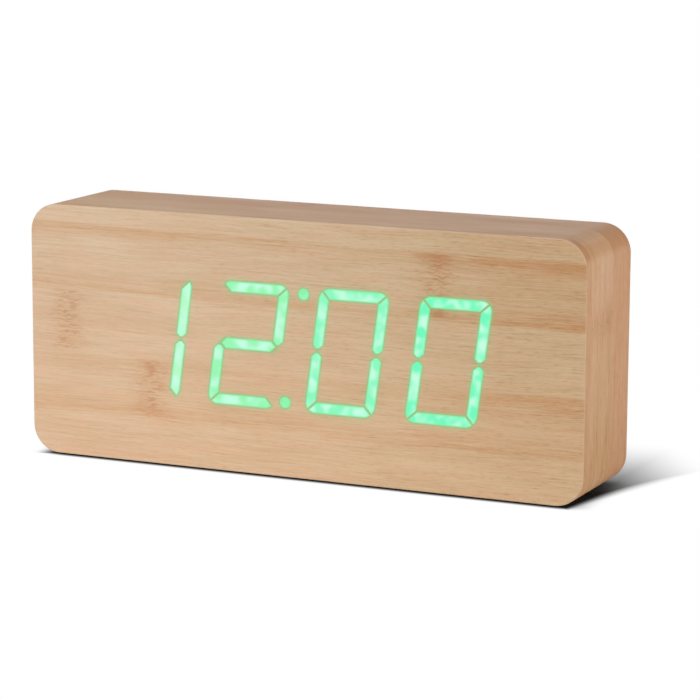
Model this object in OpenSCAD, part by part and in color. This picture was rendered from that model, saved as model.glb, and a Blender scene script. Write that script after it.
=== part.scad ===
// Digital alarm clock: a slab case in bamboo veneer with a seven-segment display shining through the front
// The front faces -Y, +X is to the right, +Z is up, and the origin is under the middle of the clock

/* [Case] */
// Width of the clock
case_w = 210; // [196:1:300]
// Height of the wooden case, without its pads
case_h = 90; // [86:1:140]
// Depth of the clock, front to back
case_d = 44; // [42:1:70]
// Corner radius of the front outline
corner_r = 10; // [6:0.5:14]
// Thickness of the bamboo veneer
veneer_t = 0.6; // [0.4:0.05:0.9]
// Radius of the softened edge all round the front and back
edge_ease = 0.5; // [0.2:0.05:0.6]
// Thickness of the side walls with their veneer
wall_t = 8; // [7:0.25:9]
// Thickness of the front wall behind its veneer
front_t = 3; // [2.6:0.1:4]
// Thickness of the back board
back_t = 3; // [2.4:0.1:3.6]
// Width of the rim round the back board
rim_w = 3; // [2:0.25:3.5]
// Depth of the back board's face below the rim
back_recess = 1.5; // [1.4:0.1:2.5]
// Radius of a rest pad
pad_r = 5; // [3:0.5:7]
// Thickness of a rest pad
pad_h = 1; // [0.6:0.1:3]

/* [Digits] */
// Numerals that the four places show, from the left
numerals_shown = [1, 2, 0, 0]; // [0:1:9]
// Height of a digit
digit_h = 43.8; // [36:0.1:46]
// Distance from the clock's side to the digits
digit_margin = 35.7; // [34:0.1:40]
// Gap between two digits
digit_gap = 11.4; // [10:0.1:14]
// Width of a segment
seg_t = 3.8; // [3.2:0.1:4.6]
// Gap between two segments at a corner
seg_gap = 0.6; // [0.4:0.05:1]
// Radius of a digit's outer corners
digit_corner_r = 4; // [2:0.1:4.4]
// Sideways lean of a digit for each unit of height
lean_share = 0.135; // [0:0.005:0.16]
// Radius of a colon dot
dot_r = 2.05; // [1.5:0.05:2.4]

/* [Display] */
// Depth of the display's reflector
reflector_d = 6.6; // [6:0.1:8]
// Thickness of the diffuser sheet
diffuser_t = 0.4; // [0.2:0.05:0.8]
// Thickness of the circuit boards
board_t = 1.6; // [1:0.1:2]

/* [Batteries] */
// Radius of a battery cell
cell_r = 5.25; // [5:0.05:5.5]
// Length of a battery cell with its terminal
cell_l = 44.5; // [43:0.1:48]
// Distance from one cell to the next
cell_pitch = 11; // [11:0.1:11.6]
// Thickness of the battery door
door_t = 1.6; // [1.4:0.1:2]
// Room for a compressed contact spring
spring_l = 5.9; // [5:0.1:7]
// Turns of a contact spring
spring_turns = 4; // [3:0.5:5]

/* [Controls] */
// Radius of a button cap
button_r = 4; // [3:0.1:4.5]
// Travel of a button
button_travel = 0.5; // [0.3:0.1:0.8]
// Distance from one button to the next
button_pitch = 14; // [13:0.1:14.5]
// Length of a button's stem
stem_l = 5; // [3:0.1:7]
// Radius of the power inlet's socket
socket_r = 2.85; // [2.75:0.05:3.2]
// Radius of the power inlet's centre pin
pin_r = 1; // [0.6:0.05:1.2]
// Depth of the power inlet's socket
socket_l = 9; // [8:0.1:9.5]

/* [Hidden] */
$fn = 64;

// Cuts run past the face that they open by this much
over = 1;
// Room between two pieces that slip together
slip = 0.2;
// Room round a moving round piece, on the radius
run_gap = 0.1;
// Room that lets two flat faces part
face_gap = 0.05;

// Levels of the case along Y, from the front to the back
front_y = -case_d / 2;
core_front_y = front_y + veneer_t;
wall_in_y = core_front_y + front_t;
back_y = case_d / 2;
core_back_y = back_y - veneer_t;
board_face_y = back_y - back_recess;
board_back_y = board_face_y - veneer_t;
board_in_y = board_back_y - back_t;
ease_share = 0.85;
ease = min(edge_ease, veneer_t * ease_share);
least_corner_r = 1;
case_mid_z = pad_h + case_h / 2;

// Screws of the back board
back_screw_r = 1.3;
back_head_r = 2.3;
back_head_h = 1.2;
back_screw_l = 12;
back_screw_in = 14;
head_slot_w = 0.6;
head_slot_share = 0.6;

// Pads stand in from the corners of the case
pad_in_x = 18;
pad_in_y = 9;
pad_soft = 0.3;

// Shape of the digits, which share the width of the front between its sides
digit_count = 4;
digit_w = (case_w - 2 * digit_margin - (digit_count - 1) * digit_gap) / digit_count;
digit_pitch = digit_w + digit_gap;
digit_rise = 0.6;
mid_gap = 1.5;
tip_flat = 1.2;
arc_steps = 4;
digit_half_w = digit_w / 2;
digit_half_h = digit_h / 2;
mitre = seg_gap / sqrt(2);
corner_turn = asin(seg_gap / 2 / digit_corner_r);
tip_z = mid_gap / 2;
shoulder_z = tip_z + (seg_t - tip_flat) / 2;
dot_x = -1.1;
dot_rise = 19.2;
dot_lean = 3.5;
// Segments that make each numeral: top, upper right, lower right, bottom, lower left, upper left, middle
numeral_segments = [
    [0, 1, 2, 3, 4, 5], [1, 2], [0, 1, 3, 4, 6], [0, 1, 2, 3, 6], [1, 2, 5, 6],
    [0, 2, 3, 5, 6], [0, 2, 3, 4, 5, 6], [0, 1, 2], [0, 1, 2, 3, 4, 5, 6], [0, 1, 2, 3, 5, 6],
];
all_segments = [0, 1, 2, 3, 4, 5, 6];

// Display module behind the front wall
reflector_margin = 3.5;
reflector_flange = 6.5;
reflector_flange_t = 1.6;
reflector_w = (digit_count - 1) * digit_pitch + digit_w + lean_share * digit_h + 2 * reflector_margin;
reflector_h = digit_h + 2 * reflector_margin;
diffuser_y = core_front_y + diffuser_t;
display_face_y = diffuser_y + reflector_d;
display_back_y = display_face_y + board_t;
display_w = reflector_w + 2 * reflector_flange;
display_h = reflector_h + 2 * reflector_margin;
display_post_r = 2.6;
display_screw_r = 1.1;
display_head_r = 2.1;
display_head_h = 1.3;
display_screw_end = 0.8;
display_post_x = reflector_w / 2 + reflector_flange / 2;
display_post_z = display_h / 2 - display_post_r - slip;
led_long = 3;
led_wide = 1.4;
led_tall = 0.8;
led_shares = [0.28, 0.72];

// Parts on the back of the display board, whose places are shares of its half width and half height
function board_place(shares) = [shares[0] * display_w / 2, shares[1] * display_h / 2];
chip_shares = [-0.07, 0.34];
chip_at = board_place(chip_shares);
chip_l = 17.9;
chip_w = 7.5;
chip_h = 2.3;
driver_shares = [[-0.51, 0.28], [0.42, 0.28]];
driver_l = 12.8;
pin_pitch = 1.27;
pin_w = 0.4;
pin_t = 0.25;
pin_out = 1.4;
pin_foot = 0.7;
chip_lift = 0.1;
crystal_shares = [-0.07, -0.07];
crystal_at = board_place(crystal_shares);
crystal_r = 1.5;
crystal_l = 8;
buzzer_shares = [0.73, -0.34];
buzzer_at = board_place(buzzer_shares);
buzzer_r = 6;
buzzer_h = 9.5;
buzzer_hole_r = 1;
buzzer_rim = 0.6;
holder_shares = [0.27, -0.42];
holder_at = board_place(holder_shares);
coin_r = 10;
coin_h = 3.2;
coin_lift = 0.8;
holder_wall = 1.2;
holder_lip = 1;
capacitor_shares = [-0.7, -0.42];
capacitor_at = board_place(capacitor_shares);
capacitor_pitch = 8;
capacitor_r = 3.15;
capacitor_h = 11;
capacitor_groove = 0.3;

// Width of the two fittings of the back: the control plate and the battery frame
plate_lip_x = 6;
control_half_l = 36;
contact_t = 0.4;
frame_side = 4;
frame_lip_x = 5;
frame_half_l = (cell_l + spring_l + 2 * contact_t) / 2;
frame_half_w = frame_half_l + frame_side;

// The rest of the back's width is shared out: left of the plate, between the two, right of the frame
back_gap_shares = [0.2, 0.38, 0.42];
back_spare_w = case_w - 2 * (rim_w + control_half_l + plate_lip_x + frame_half_w + frame_lip_x);
control_x = -case_w / 2 + rim_w + back_gap_shares[0] * back_spare_w + plate_lip_x + control_half_l;
battery_x = case_w / 2 - rim_w - back_gap_shares[2] * back_spare_w - frame_lip_x - frame_half_w;

// Control plate and its board, set in the back board
control_half_h = 13;
control_corner_r = 3;
plate_lip_t = 1.2;
plate_t = 2;
plate_wall = 1.5;
plate_skirt = 5;
plate_lip_z = 2;
plate_face_y = board_face_y + plate_lip_t;
plate_in_y = plate_face_y - plate_t;
middle_button_in = 4;
middle_button_x = control_x + middle_button_in;
button_xs = [middle_button_x - button_pitch, middle_button_x, middle_button_x + button_pitch];
button_sink = 0.3;
button_dome = 0.4;
button_flange = 1.2;
button_flange_t = 1;
stem_r = 2;
switch_w = 6;
switch_h = 3.5;
plunger_r = 1.75;
plunger_rise = 1.5;
plunger_in = 1.3;
switch_leg_w = 0.7;
switch_leg_t = 0.3;
button_in_y = plate_in_y - face_gap - button_flange_t;
plunger_top_y = button_in_y - stem_l;
control_face_y = plunger_top_y - plunger_rise - switch_h;
control_back_y = control_face_y - board_t;
control_board_in = 2.5;
control_post_r = 2.4;
control_post_x = control_half_l - plate_wall - control_post_r - 2 * slip;
control_post_z = control_half_h - plate_wall - control_post_r - 2 * slip;
control_screw_r = 1;
control_screw_l = 6;
control_head_r = 1.9;
control_head_h = 1.2;
inlet_in = 24;
inlet_x = control_x - inlet_in;
inlet_w = 9;
inlet_nose_r = 4;
inlet_sink = 0.4;
inlet_tip = 0.6;
mic_in = 28;
mic_x = control_x + mic_in;
mic_r = 3;
mic_l = 5;
mic_hole_r = 0.8;
mic_leg_r = 0.25;
mic_leg_x = 1.27;
mic_collar = 0.8;

// Battery frame, set in the back board
cell_count = 4;
nub_r = 1.9;
nub_l = 1;
cell_bevel = 0.4;
contact_share = 0.75;
cell_clear = 0.15;
cell_under_door = 0.5;
frame_wall = 2.5;
frame_floor = 1.2;
saddle_h = 2.4;
frame_lip_z = 3;
frame_lip_t = 1.2;
frame_corner_r = 2;
door_ledge = 1.2;
frame_end_room = 0.3;
frame_half_h = cell_count * cell_pitch / 2 + frame_end_room;
frame_face_y = board_face_y + frame_lip_t;
door_in_y = frame_face_y - door_t;
cell_y = door_in_y - cell_under_door - cell_r;
frame_floor_y = cell_y - cell_r - cell_clear;
frame_back_y = frame_floor_y - frame_floor;
door_half_w = frame_half_l + door_ledge - slip;
door_top_z = frame_half_h + door_ledge - slip;
barrel_r = 1.5;
hinge_y = frame_face_y - barrel_r;
hinge_z = -door_top_z + barrel_r;
hinge_pin_r = 0.8;
hinge_pin_l = 2;
hinge_run = 0.08;
grip_count = 5;
grip_pitch = 2.4;
grip_w = 1.1;
grip_deep = 0.5;
grip_half_l = 9;
latch_w = 10;
latch_t = 0.8;
latch_bend_r = 0.9;
latch_deep = 4.6;
latch_hook = 0.8;
latch_hook_h = 1.2;
latch_room = 0.3;
latch_top_z = door_top_z + 2 * latch_bend_r + latch_t;
pocket_side = 1;
pocket_half_w = latch_w / 2 + pocket_side;
pocket_top_z = latch_top_z + latch_hook + latch_room;
pocket_wall = 1.5;
pocket_in_y = door_in_y - latch_deep - latch_bend_r - latch_t - latch_room;
frame_top_z = pocket_top_z + pocket_wall;
frame_screw_r = 1.1;
frame_head_r = 2.1;
frame_head_h = 1;
frame_screw_l = 4.6;
frame_screw_z = 18;
spring_wire_r = 0.3;
spring_base_r = 3.6;
spring_tip_r = 2.2;
spring_sides = 6;
spring_rings = 12;

// Wires held inside the case
ribbon_w = 10;
ribbon_t = 0.8;
ribbon_stub = 0.5;
header_l = 12;
header_w = 5;
header_h = 3.5;
display_header_in = 28;
control_header_in = 4;
display_header_x = control_x + display_header_in;
control_header_x = control_x + control_header_in;
header_z = -4;
lead_r = 0.8;
lead_sag = 7;
lead_rings = 16;
lead_sides = 8;
lead_z = [-3, 3];
lead_land = 3;
lead_stub = 0.6;

wood_face = [0.85, 0.71, 0.57];
wood_edge = [0.78, 0.63, 0.49];
fibre = [0.66, 0.52, 0.38];
mint = [0.5, 1, 0.72];
black_plastic = [0.1, 0.1, 0.11];
green_board = [0.08, 0.36, 0.2];
steel = [0.75, 0.76, 0.78];
tin = [0.82, 0.83, 0.84];

// Stands children, drawn on the XY plane, upright in the XZ plane from y0 back to y1
module upright(y0, y1) {
    translate([0, y1, case_mid_z])
        rotate([90, 0, 0])
            linear_extrude(y1 - y0)
                children();
}

// Carries a profile, drawn as Y and Z, along X from x0 to x1
module along_x(x0, x1) {
    translate([x0, 0, case_mid_z])
        rotate([90, 0, 90])
            linear_extrude(x1 - x0)
                children();
}

// Rod along Y from y0 to y1 at x and z of the case
module rod_y(x, z, y0, y1, r0, r1) {
    translate([x, y0, case_mid_z + z])
        rotate([-90, 0, 0])
            cylinder(h = y1 - y0, r1 = r0, r2 = is_undef(r1) ? r0 : r1);
}

// Rod along X from x0 to x1 at y and z of the case
module rod_x(y, z, x0, x1, r) {
    translate([x0, y, case_mid_z + z])
        rotate([0, 90, 0])
            cylinder(h = x1 - x0, r = r);
}

// Block between two corners, with z of the case
module block(low, high) {
    translate([low[0], low[1], case_mid_z + low[2]])
        cube(high - low);
}

module rounded_rect(w, h, r) {
    square([w - 2 * r, h], center = true);
    square([w, h - 2 * r], center = true);
    for (sx = [-1, 1], sz = [-1, 1])
        translate([sx * (w / 2 - r), sz * (h / 2 - r)])
            circle(r);
}

// Front outline of the case, drawn in by inset
module outline(inset) {
    rounded_rect(case_w - 2 * inset, case_h - 2 * inset, max(corner_r - inset, least_corner_r));
}

module quarter_disc(r) {
    intersection() {
        circle(r);
        square(r);
    }
}

// Slab of the case outline, t thick, whose far edge is rounded all round by ease
module eased_slab(t) {
    linear_extrude(t - ease)
        outline(0);
    linear_extrude(t)
        outline(ease);
    for (sx = [0, 1], sy = [0, 1])
        mirror([sx, 0, 0])
            mirror([0, sy, 0])
                translate([case_w / 2 - corner_r, case_h / 2 - corner_r, t - ease])
                    rotate_extrude(angle = 90)
                        translate([corner_r - ease, 0])
                            quarter_disc(ease);
    for (side = [0, 1])
        mirror([0, side, 0])
            translate([-case_w / 2 + corner_r, case_h / 2 - ease, t - ease])
                rotate([90, 0, 90])
                    linear_extrude(case_w - 2 * corner_r)
                        quarter_disc(ease);
    for (side = [0, 1])
        mirror([side, 0, 0])
            translate([case_w / 2 - ease, case_h / 2 - corner_r, t - ease])
                rotate([90, 0, 0])
                    linear_extrude(case_h - 2 * corner_r)
                        quarter_disc(ease);
}

function arc(mid, r, from, to) = [
    for (k = [0:arc_steps])
        let (a = from + (to - from) * k / arc_steps)
        mid + r * [cos(a), sin(a)]
];

digit_corner = [digit_half_w - digit_corner_r, digit_half_h - digit_corner_r];
mitre_angle = 45;
top_bar = concat(
    arc(digit_corner, digit_corner_r, mitre_angle + corner_turn, 90),
    arc([-digit_corner[0], digit_corner[1]], digit_corner_r, 90, 180 - mitre_angle - corner_turn),
    [
        [-digit_half_w + seg_t + mitre, digit_half_h - seg_t],
        [digit_half_w - seg_t - mitre, digit_half_h - seg_t],
    ]
);
upper_right = concat(
    arc(digit_corner, digit_corner_r, 0, mitre_angle - corner_turn),
    [
        [digit_half_w - seg_t, digit_half_h - seg_t - mitre],
        [digit_half_w - seg_t, shoulder_z],
        [digit_half_w - (seg_t + tip_flat) / 2, tip_z],
        [digit_half_w - (seg_t - tip_flat) / 2, tip_z],
        [digit_half_w, shoulder_z],
    ]
);
middle_reach = digit_half_w - seg_t + shoulder_z - 2 * mitre;
middle_bar = [
    [middle_reach, 0], [middle_reach - seg_t / 2, seg_t / 2], [seg_t / 2 - middle_reach, seg_t / 2],
    [-middle_reach, 0], [seg_t / 2 - middle_reach, -seg_t / 2], [middle_reach - seg_t / 2, -seg_t / 2],
];

function flipped(points, flip) = [for (p = points) [p[0] * flip[0], p[1] * flip[1]]];
function leaning(points) = [for (p = points) [p[0] + lean_share * p[1], p[1]]];
segment_points = [
    top_bar, upper_right, flipped(upper_right, [1, -1]), flipped(top_bar, [1, -1]),
    flipped(upper_right, [-1, -1]), flipped(upper_right, [-1, 1]), middle_bar,
];
function digit_x(place) = (place - (digit_count - 1) / 2) * digit_pitch;

// Outlines of some of a digit's segments, leaning to the right
module segments(place, which) {
    for (s = which)
        translate([digit_x(place), digit_rise])
            polygon(leaning(segment_points[s]));
}

module colon_outline() {
    for (side = [-1, 1])
        translate([dot_x + side * dot_lean, digit_rise + side * dot_rise])
            circle(dot_r);
}

module segment_windows() {
    for (place = [0:digit_count - 1])
        segments(place, numeral_segments[numerals_shown[place]]);
    colon_outline();
}

module digit_light(place) {
    color(mint)
        upright(front_y, core_front_y)
            segments(place, numeral_segments[numerals_shown[place]]);
}

module hour_tens_digit() {
    digit_light(0);
}

module hour_units_digit() {
    digit_light(1);
}

module minute_tens_digit() {
    digit_light(2);
}

module minute_units_digit() {
    digit_light(3);
}

module colon_dots() {
    color(mint)
        upright(front_y, core_front_y)
            colon_outline();
}

// Bamboo facing of the front, thinned to a film at the windows, which the digit nodes fill
module front_veneer() {
    color(wood_face)
        difference() {
            translate([0, core_front_y, case_mid_z])
                rotate([90, 0, 0])
                    eased_slab(veneer_t);
            upright(front_y - over, core_front_y + over)
                segment_windows();
        }
}

// Band of veneer round the four sides, turned in over the rim at the back
module edge_veneer() {
    color(wood_edge)
        difference() {
            mirror([0, 1, 0])
                translate([0, -core_front_y, case_mid_z])
                    rotate([90, 0, 0])
                        eased_slab(back_y - core_front_y);
            upright(core_front_y - over, core_back_y)
                outline(veneer_t);
            upright(core_front_y - over, back_y + over)
                outline(rim_w);
        }
}

module display_opening(grow) {
    square([reflector_w + 2 * grow, reflector_h + 2 * grow], center = true);
}

back_screw_x = case_w / 2 - back_screw_in;
back_screw_z = case_h / 2 - (rim_w + wall_t) / 2;
back_screw_places = [
    for (x = [-back_screw_x, 0, back_screw_x], z = [-back_screw_z, back_screw_z]) [x, z]
];
display_screw_places = [
    for (x = [-display_post_x, display_post_x], z = [-display_post_z, 0, display_post_z]) [x, z + digit_rise]
];

// Fibreboard shell, open at the back, with a window for the display
module case_core() {
    color(fibre)
        difference() {
            upright(core_front_y, core_back_y)
                outline(veneer_t);
            upright(wall_in_y, back_y + over)
                outline(wall_t);
            upright(board_in_y, back_y + over)
                outline(rim_w);
            upright(front_y, wall_in_y + over)
                translate([0, digit_rise])
                    display_opening(slip);
            for (p = back_screw_places)
                rod_y(p[0], p[1], board_face_y - back_screw_l - face_gap, back_y, back_screw_r);
            for (p = display_screw_places)
                rod_y(
                    p[0], p[1], core_front_y + display_screw_end - face_gap, wall_in_y + over,
                    display_screw_r
                );
        }
}

module control_outline(grow) {
    translate([control_x, 0])
        rounded_rect(2 * (control_half_l + grow), 2 * (control_half_h + grow), control_corner_r);
}

frame_low_z = -frame_half_h - frame_wall;
frame_wall_top_z = frame_half_h + frame_wall;

// Outline of the battery frame's body with the bulge that holds the latch
module frame_outline(grow) {
    translate([battery_x - frame_half_w - grow, frame_low_z - grow])
        square([2 * (frame_half_w + grow), frame_wall_top_z - frame_low_z + 2 * grow]);
    translate([battery_x - pocket_half_w - pocket_wall - grow, 0])
        square([2 * (pocket_half_w + pocket_wall + grow), frame_top_z + grow]);
}

frame_screw_places = [
    for (sx = [-1, 1], z = [-frame_screw_z, frame_screw_z])
        [battery_x + sx * (frame_half_w + frame_lip_x / 2), z]
];
plate_screw_places = [for (sx = [-1, 1]) [control_x + sx * (control_half_l + plate_lip_x / 2), 0]];
lip_screw_places = concat(frame_screw_places, plate_screw_places);

// Face of the back board with its openings and screw holes
module back_face(screw_clear) {
    difference() {
        outline(rim_w + slip);
        control_outline(slip);
        frame_outline(slip);
        for (p = back_screw_places)
            translate(p)
                circle(back_screw_r + screw_clear);
        for (p = lip_screw_places)
            translate(p)
                circle(frame_screw_r);
    }
}

module back_board() {
    color(fibre)
        upright(board_in_y, board_back_y)
            back_face(slip);
}

module back_veneer() {
    color(wood_face)
        upright(board_back_y, board_face_y)
            back_face(slip);
}

// Pan-head screw along Y with a cross slot, seated at y; turn 1 drives it to the front, -1 to the back
module pan_screw(place, y, turn, shank_r, l, head_r, head_h) {
    translate([place[0], y, case_mid_z + place[1]])
        rotate([90 * turn, 0, 0])
            difference() {
                union() {
                    cylinder(h = l, r = shank_r);
                    translate([0, 0, -head_h])
                        cylinder(h = head_h, r = head_r);
                }
                for (a = [0, 90])
                    rotate([0, 0, a])
                        translate([-head_r * head_slot_share, -head_slot_w / 2, -head_h - over])
                            cube([
                                2 * head_r * head_slot_share, head_slot_w,
                                over + head_h * head_slot_share,
                            ]);
            }
}

module back_screws() {
    color(steel)
        for (p = back_screw_places)
            pan_screw(p, board_face_y, 1, back_screw_r, back_screw_l, back_head_r, back_head_h);
}

// Soft round pad whose lower edge is bevelled
module pad(sx, sy) {
    color([0.16, 0.16, 0.16])
        translate([sx * (case_w / 2 - pad_in_x), sy * (case_d / 2 - pad_in_y), 0]) {
            cylinder(h = pad_soft, r1 = pad_r - pad_soft, r2 = pad_r);
            translate([0, 0, pad_soft])
                cylinder(h = pad_h - pad_soft, r = pad_r);
        }
}

module pad_front_left() {
    pad(-1, -1);
}

module pad_front_right() {
    pad(1, -1);
}

module pad_back_left() {
    pad(-1, 1);
}

module pad_back_right() {
    pad(1, 1);
}

module diffuser_sheet() {
    color([0.95, 0.96, 0.95])
        upright(core_front_y, diffuser_y)
            translate([0, digit_rise])
                display_opening(0);
}

// White moulding with one light well for each segment and dot, a flange and posts for its screws
module reflector() {
    color([0.93, 0.93, 0.92])
        difference() {
            union() {
                upright(diffuser_y, display_face_y)
                    translate([0, digit_rise])
                        display_opening(0);
                upright(wall_in_y, wall_in_y + reflector_flange_t)
                    translate([0, digit_rise])
                        square([display_w, display_h], center = true);
                for (p = display_screw_places)
                    rod_y(p[0], p[1], wall_in_y, display_face_y, display_post_r);
            }
            upright(diffuser_y - over, display_face_y + over) {
                for (place = [0:digit_count - 1])
                    segments(place, all_segments);
                colon_outline();
            }
            for (p = display_screw_places)
                rod_y(p[0], p[1], wall_in_y - over, display_face_y + over, display_screw_r);
        }
}

module display_board() {
    color(green_board)
        upright(display_face_y, display_back_y)
            difference() {
                translate([0, digit_rise])
                    square([display_w, display_h], center = true);
                for (p = display_screw_places)
                    translate(p)
                        circle(display_screw_r);
            }
}

module display_screws() {
    color(steel)
        for (p = display_screw_places)
            pan_screw(
                p, display_back_y, 1, display_screw_r, display_back_y - core_front_y - display_screw_end,
                display_head_r, display_head_h
            );
}

// Ends of each segment's middle line, before the lean
bar_reach = digit_half_w - seg_t;
side_mid_x = digit_half_w - seg_t / 2;
side_ends = [digit_half_h - seg_t, shoulder_z];
function segment_line(s) =
    s == 0 ? [[-bar_reach, digit_half_h - seg_t / 2], [bar_reach, digit_half_h - seg_t / 2]]
    : s == 3 ? [[-bar_reach, seg_t / 2 - digit_half_h], [bar_reach, seg_t / 2 - digit_half_h]]
    : s == 6 ? [[-bar_reach, 0], [bar_reach, 0]]
    : let (sx = s < 3 ? 1 : -1, sz = s == 1 || s == 5 ? 1 : -1)
        [[sx * side_mid_x, sz * side_ends[0]], [sx * side_mid_x, sz * side_ends[1]]];

module led(place, size) {
    upright(display_face_y - led_tall, display_face_y)
        translate(place)
            square(size, center = true);
}

module led_chips() {
    color([0.96, 0.97, 0.9]) {
        for (place = [0:digit_count - 1], s = all_segments, share = led_shares)
            let (ends = segment_line(s), at = leaning([ends[0] + (ends[1] - ends[0]) * share])[0])
                led(
                    [digit_x(place) + at[0], digit_rise + at[1]],
                    s % 3 == 0 ? [led_long, led_wide] : [led_wide, led_long]
                );
        for (side = [-1, 1])
            led([dot_x + side * dot_lean, digit_rise + side * dot_rise], [led_wide, led_wide]);
    }
}

// Bent pin of a chip, as height over reach, foot first
function pin_profile(reach, rise) = [
    [reach, 0], [reach, pin_t], [reach - pin_foot, pin_t], [reach - pin_foot, rise + pin_t],
    [0, rise + pin_t], [0, rise], [reach - pin_foot - pin_t, rise], [reach - pin_foot - pin_t, 0],
];

// Chip with bent pins along its two long sides, lying on the back of the display board
module surface_chip(at, l, w, h) {
    pins = floor(l / pin_pitch);
    translate([at[0], display_back_y, case_mid_z + at[1]])
        rotate([-90, 0, 0]) {
            translate([-l / 2, -w / 2, chip_lift])
                cube([l, w, h - chip_lift]);
            for (side = [0, 1], k = [0:pins - 1])
                rotate([0, 0, 180 * side])
                    translate([(k - (pins - 1) / 2) * pin_pitch - pin_w / 2, w / 2, 0])
                        rotate([90, 0, 90])
                            linear_extrude(pin_w)
                                polygon(pin_profile(pin_out, h / 2));
        }
}

module clock_chip() {
    color([0.13, 0.13, 0.14])
        surface_chip(chip_at, chip_l, chip_w, chip_h);
}

module driver_chips() {
    color([0.14, 0.14, 0.15])
        for (shares = driver_shares)
            surface_chip(board_place(shares), driver_l, chip_w, chip_h);
}

// Watch crystal in its can, lying on the board
module crystal() {
    color(tin)
        rod_x(display_back_y + crystal_r, crystal_at[1], crystal_at[0], crystal_at[0] + crystal_l, crystal_r);
}

module buzzer() {
    color([0.08, 0.08, 0.09])
        difference() {
            rod_y(buzzer_at[0], buzzer_at[1], display_back_y, display_back_y + buzzer_h, buzzer_r);
            rod_y(
                buzzer_at[0], buzzer_at[1], display_back_y + buzzer_h / 2, display_back_y + buzzer_h + over,
                buzzer_hole_r
            );
            difference() {
                rod_y(
                    buzzer_at[0], buzzer_at[1], display_back_y + buzzer_h - buzzer_rim,
                    display_back_y + buzzer_h + over, buzzer_r - buzzer_rim
                );
                rod_y(
                    buzzer_at[0], buzzer_at[1], display_back_y, display_back_y + buzzer_h + 2 * over,
                    buzzer_hole_r + buzzer_rim
                );
            }
        }
}

coin_y = display_back_y + coin_lift;

// Round holder whose two lips keep the coin cell down
module backup_cell_holder() {
    color([0.15, 0.15, 0.16])
        difference() {
            rod_y(
                holder_at[0], holder_at[1], display_back_y, coin_y + coin_h + holder_lip,
                coin_r + slip + holder_wall
            );
            rod_y(holder_at[0], holder_at[1], coin_y, coin_y + coin_h + face_gap, coin_r + slip);
            rod_y(
                holder_at[0], holder_at[1], coin_y + coin_h, coin_y + coin_h + holder_lip + over,
                coin_r - holder_lip
            );
            for (sz = [-1, 1])
                block(
                    [
                        holder_at[0] - coin_r / 2, coin_y,
                        holder_at[1] + min(sz * 2 * coin_r, 0) + sz * coin_r / 2,
                    ],
                    [
                        holder_at[0] + coin_r / 2, coin_y + coin_h + holder_lip + over,
                        holder_at[1] + max(sz * 2 * coin_r, 0) + sz * coin_r / 2,
                    ]
                );
        }
}

module backup_cell() {
    color(tin) {
        rod_y(holder_at[0], holder_at[1], coin_y, coin_y + coin_h - contact_t, coin_r);
        rod_y(holder_at[0], holder_at[1], coin_y, coin_y + coin_h, coin_r - holder_wall);
    }
}

// Two round capacitors, each with the groove rolled near its foot
module capacitors() {
    color([0.12, 0.14, 0.3])
        for (side = [-1, 1])
            translate([
                capacitor_at[0] + side * capacitor_pitch / 2, display_back_y, case_mid_z + capacitor_at[1],
            ])
                rotate([-90, 0, 0])
                    difference() {
                        cylinder(h = capacitor_h, r = capacitor_r);
                        translate([0, 0, capacitor_r / 2])
                            rotate_extrude()
                                translate([capacitor_r, 0])
                                    circle(capacitor_groove);
                    }
}

// Connector housings at the two ends of the ribbon, one on each board
module ribbon_headers() {
    color([0.92, 0.9, 0.84]) {
        block(
            [display_header_x - header_w / 2, display_back_y, header_z - header_l / 2],
            [display_header_x + header_w / 2, display_back_y + header_h, header_z + header_l / 2]
        );
        block(
            [control_header_x - header_w / 2, control_back_y - header_h, header_z - header_l / 2],
            [control_header_x + header_w / 2, control_back_y, header_z + header_l / 2]
        );
    }
}

ribbon_low_y = display_back_y + header_h;
ribbon_high_y = control_back_y - header_h;
ribbon_mid_y = (ribbon_low_y + ribbon_high_y) / 2;
ribbon_bend_r = (ribbon_high_y - ribbon_low_y) / 2 - ribbon_stub;

// Quarter of a ring whose hollow faces the corner of a bend
module ribbon_bend(at, turn) {
    translate(at)
        rotate([0, 0, turn])
            intersection() {
                difference() {
                    circle(ribbon_bend_r + ribbon_t / 2);
                    circle(ribbon_bend_r - ribbon_t / 2);
                }
                square(ribbon_bend_r + ribbon_t);
            }
}

// Flat cable from header to header: out of one, across between the boards and into the other
module ribbon_cable() {
    bend_r = ribbon_bend_r;
    color([0.72, 0.74, 0.76])
        translate([0, 0, case_mid_z + header_z - ribbon_w / 2])
            linear_extrude(ribbon_w) {
                translate([display_header_x - ribbon_t / 2, ribbon_low_y])
                    square([ribbon_t, ribbon_stub]);
                ribbon_bend([display_header_x - bend_r, ribbon_mid_y - bend_r], 0);
                translate([control_header_x + bend_r, ribbon_mid_y - ribbon_t / 2])
                    square([display_header_x - control_header_x - 2 * bend_r, ribbon_t]);
                ribbon_bend([control_header_x + bend_r, ribbon_mid_y + bend_r], 180);
                translate([control_header_x - ribbon_t / 2, ribbon_high_y - ribbon_stub])
                    square([ribbon_t, ribbon_stub]);
            }
}

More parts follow.
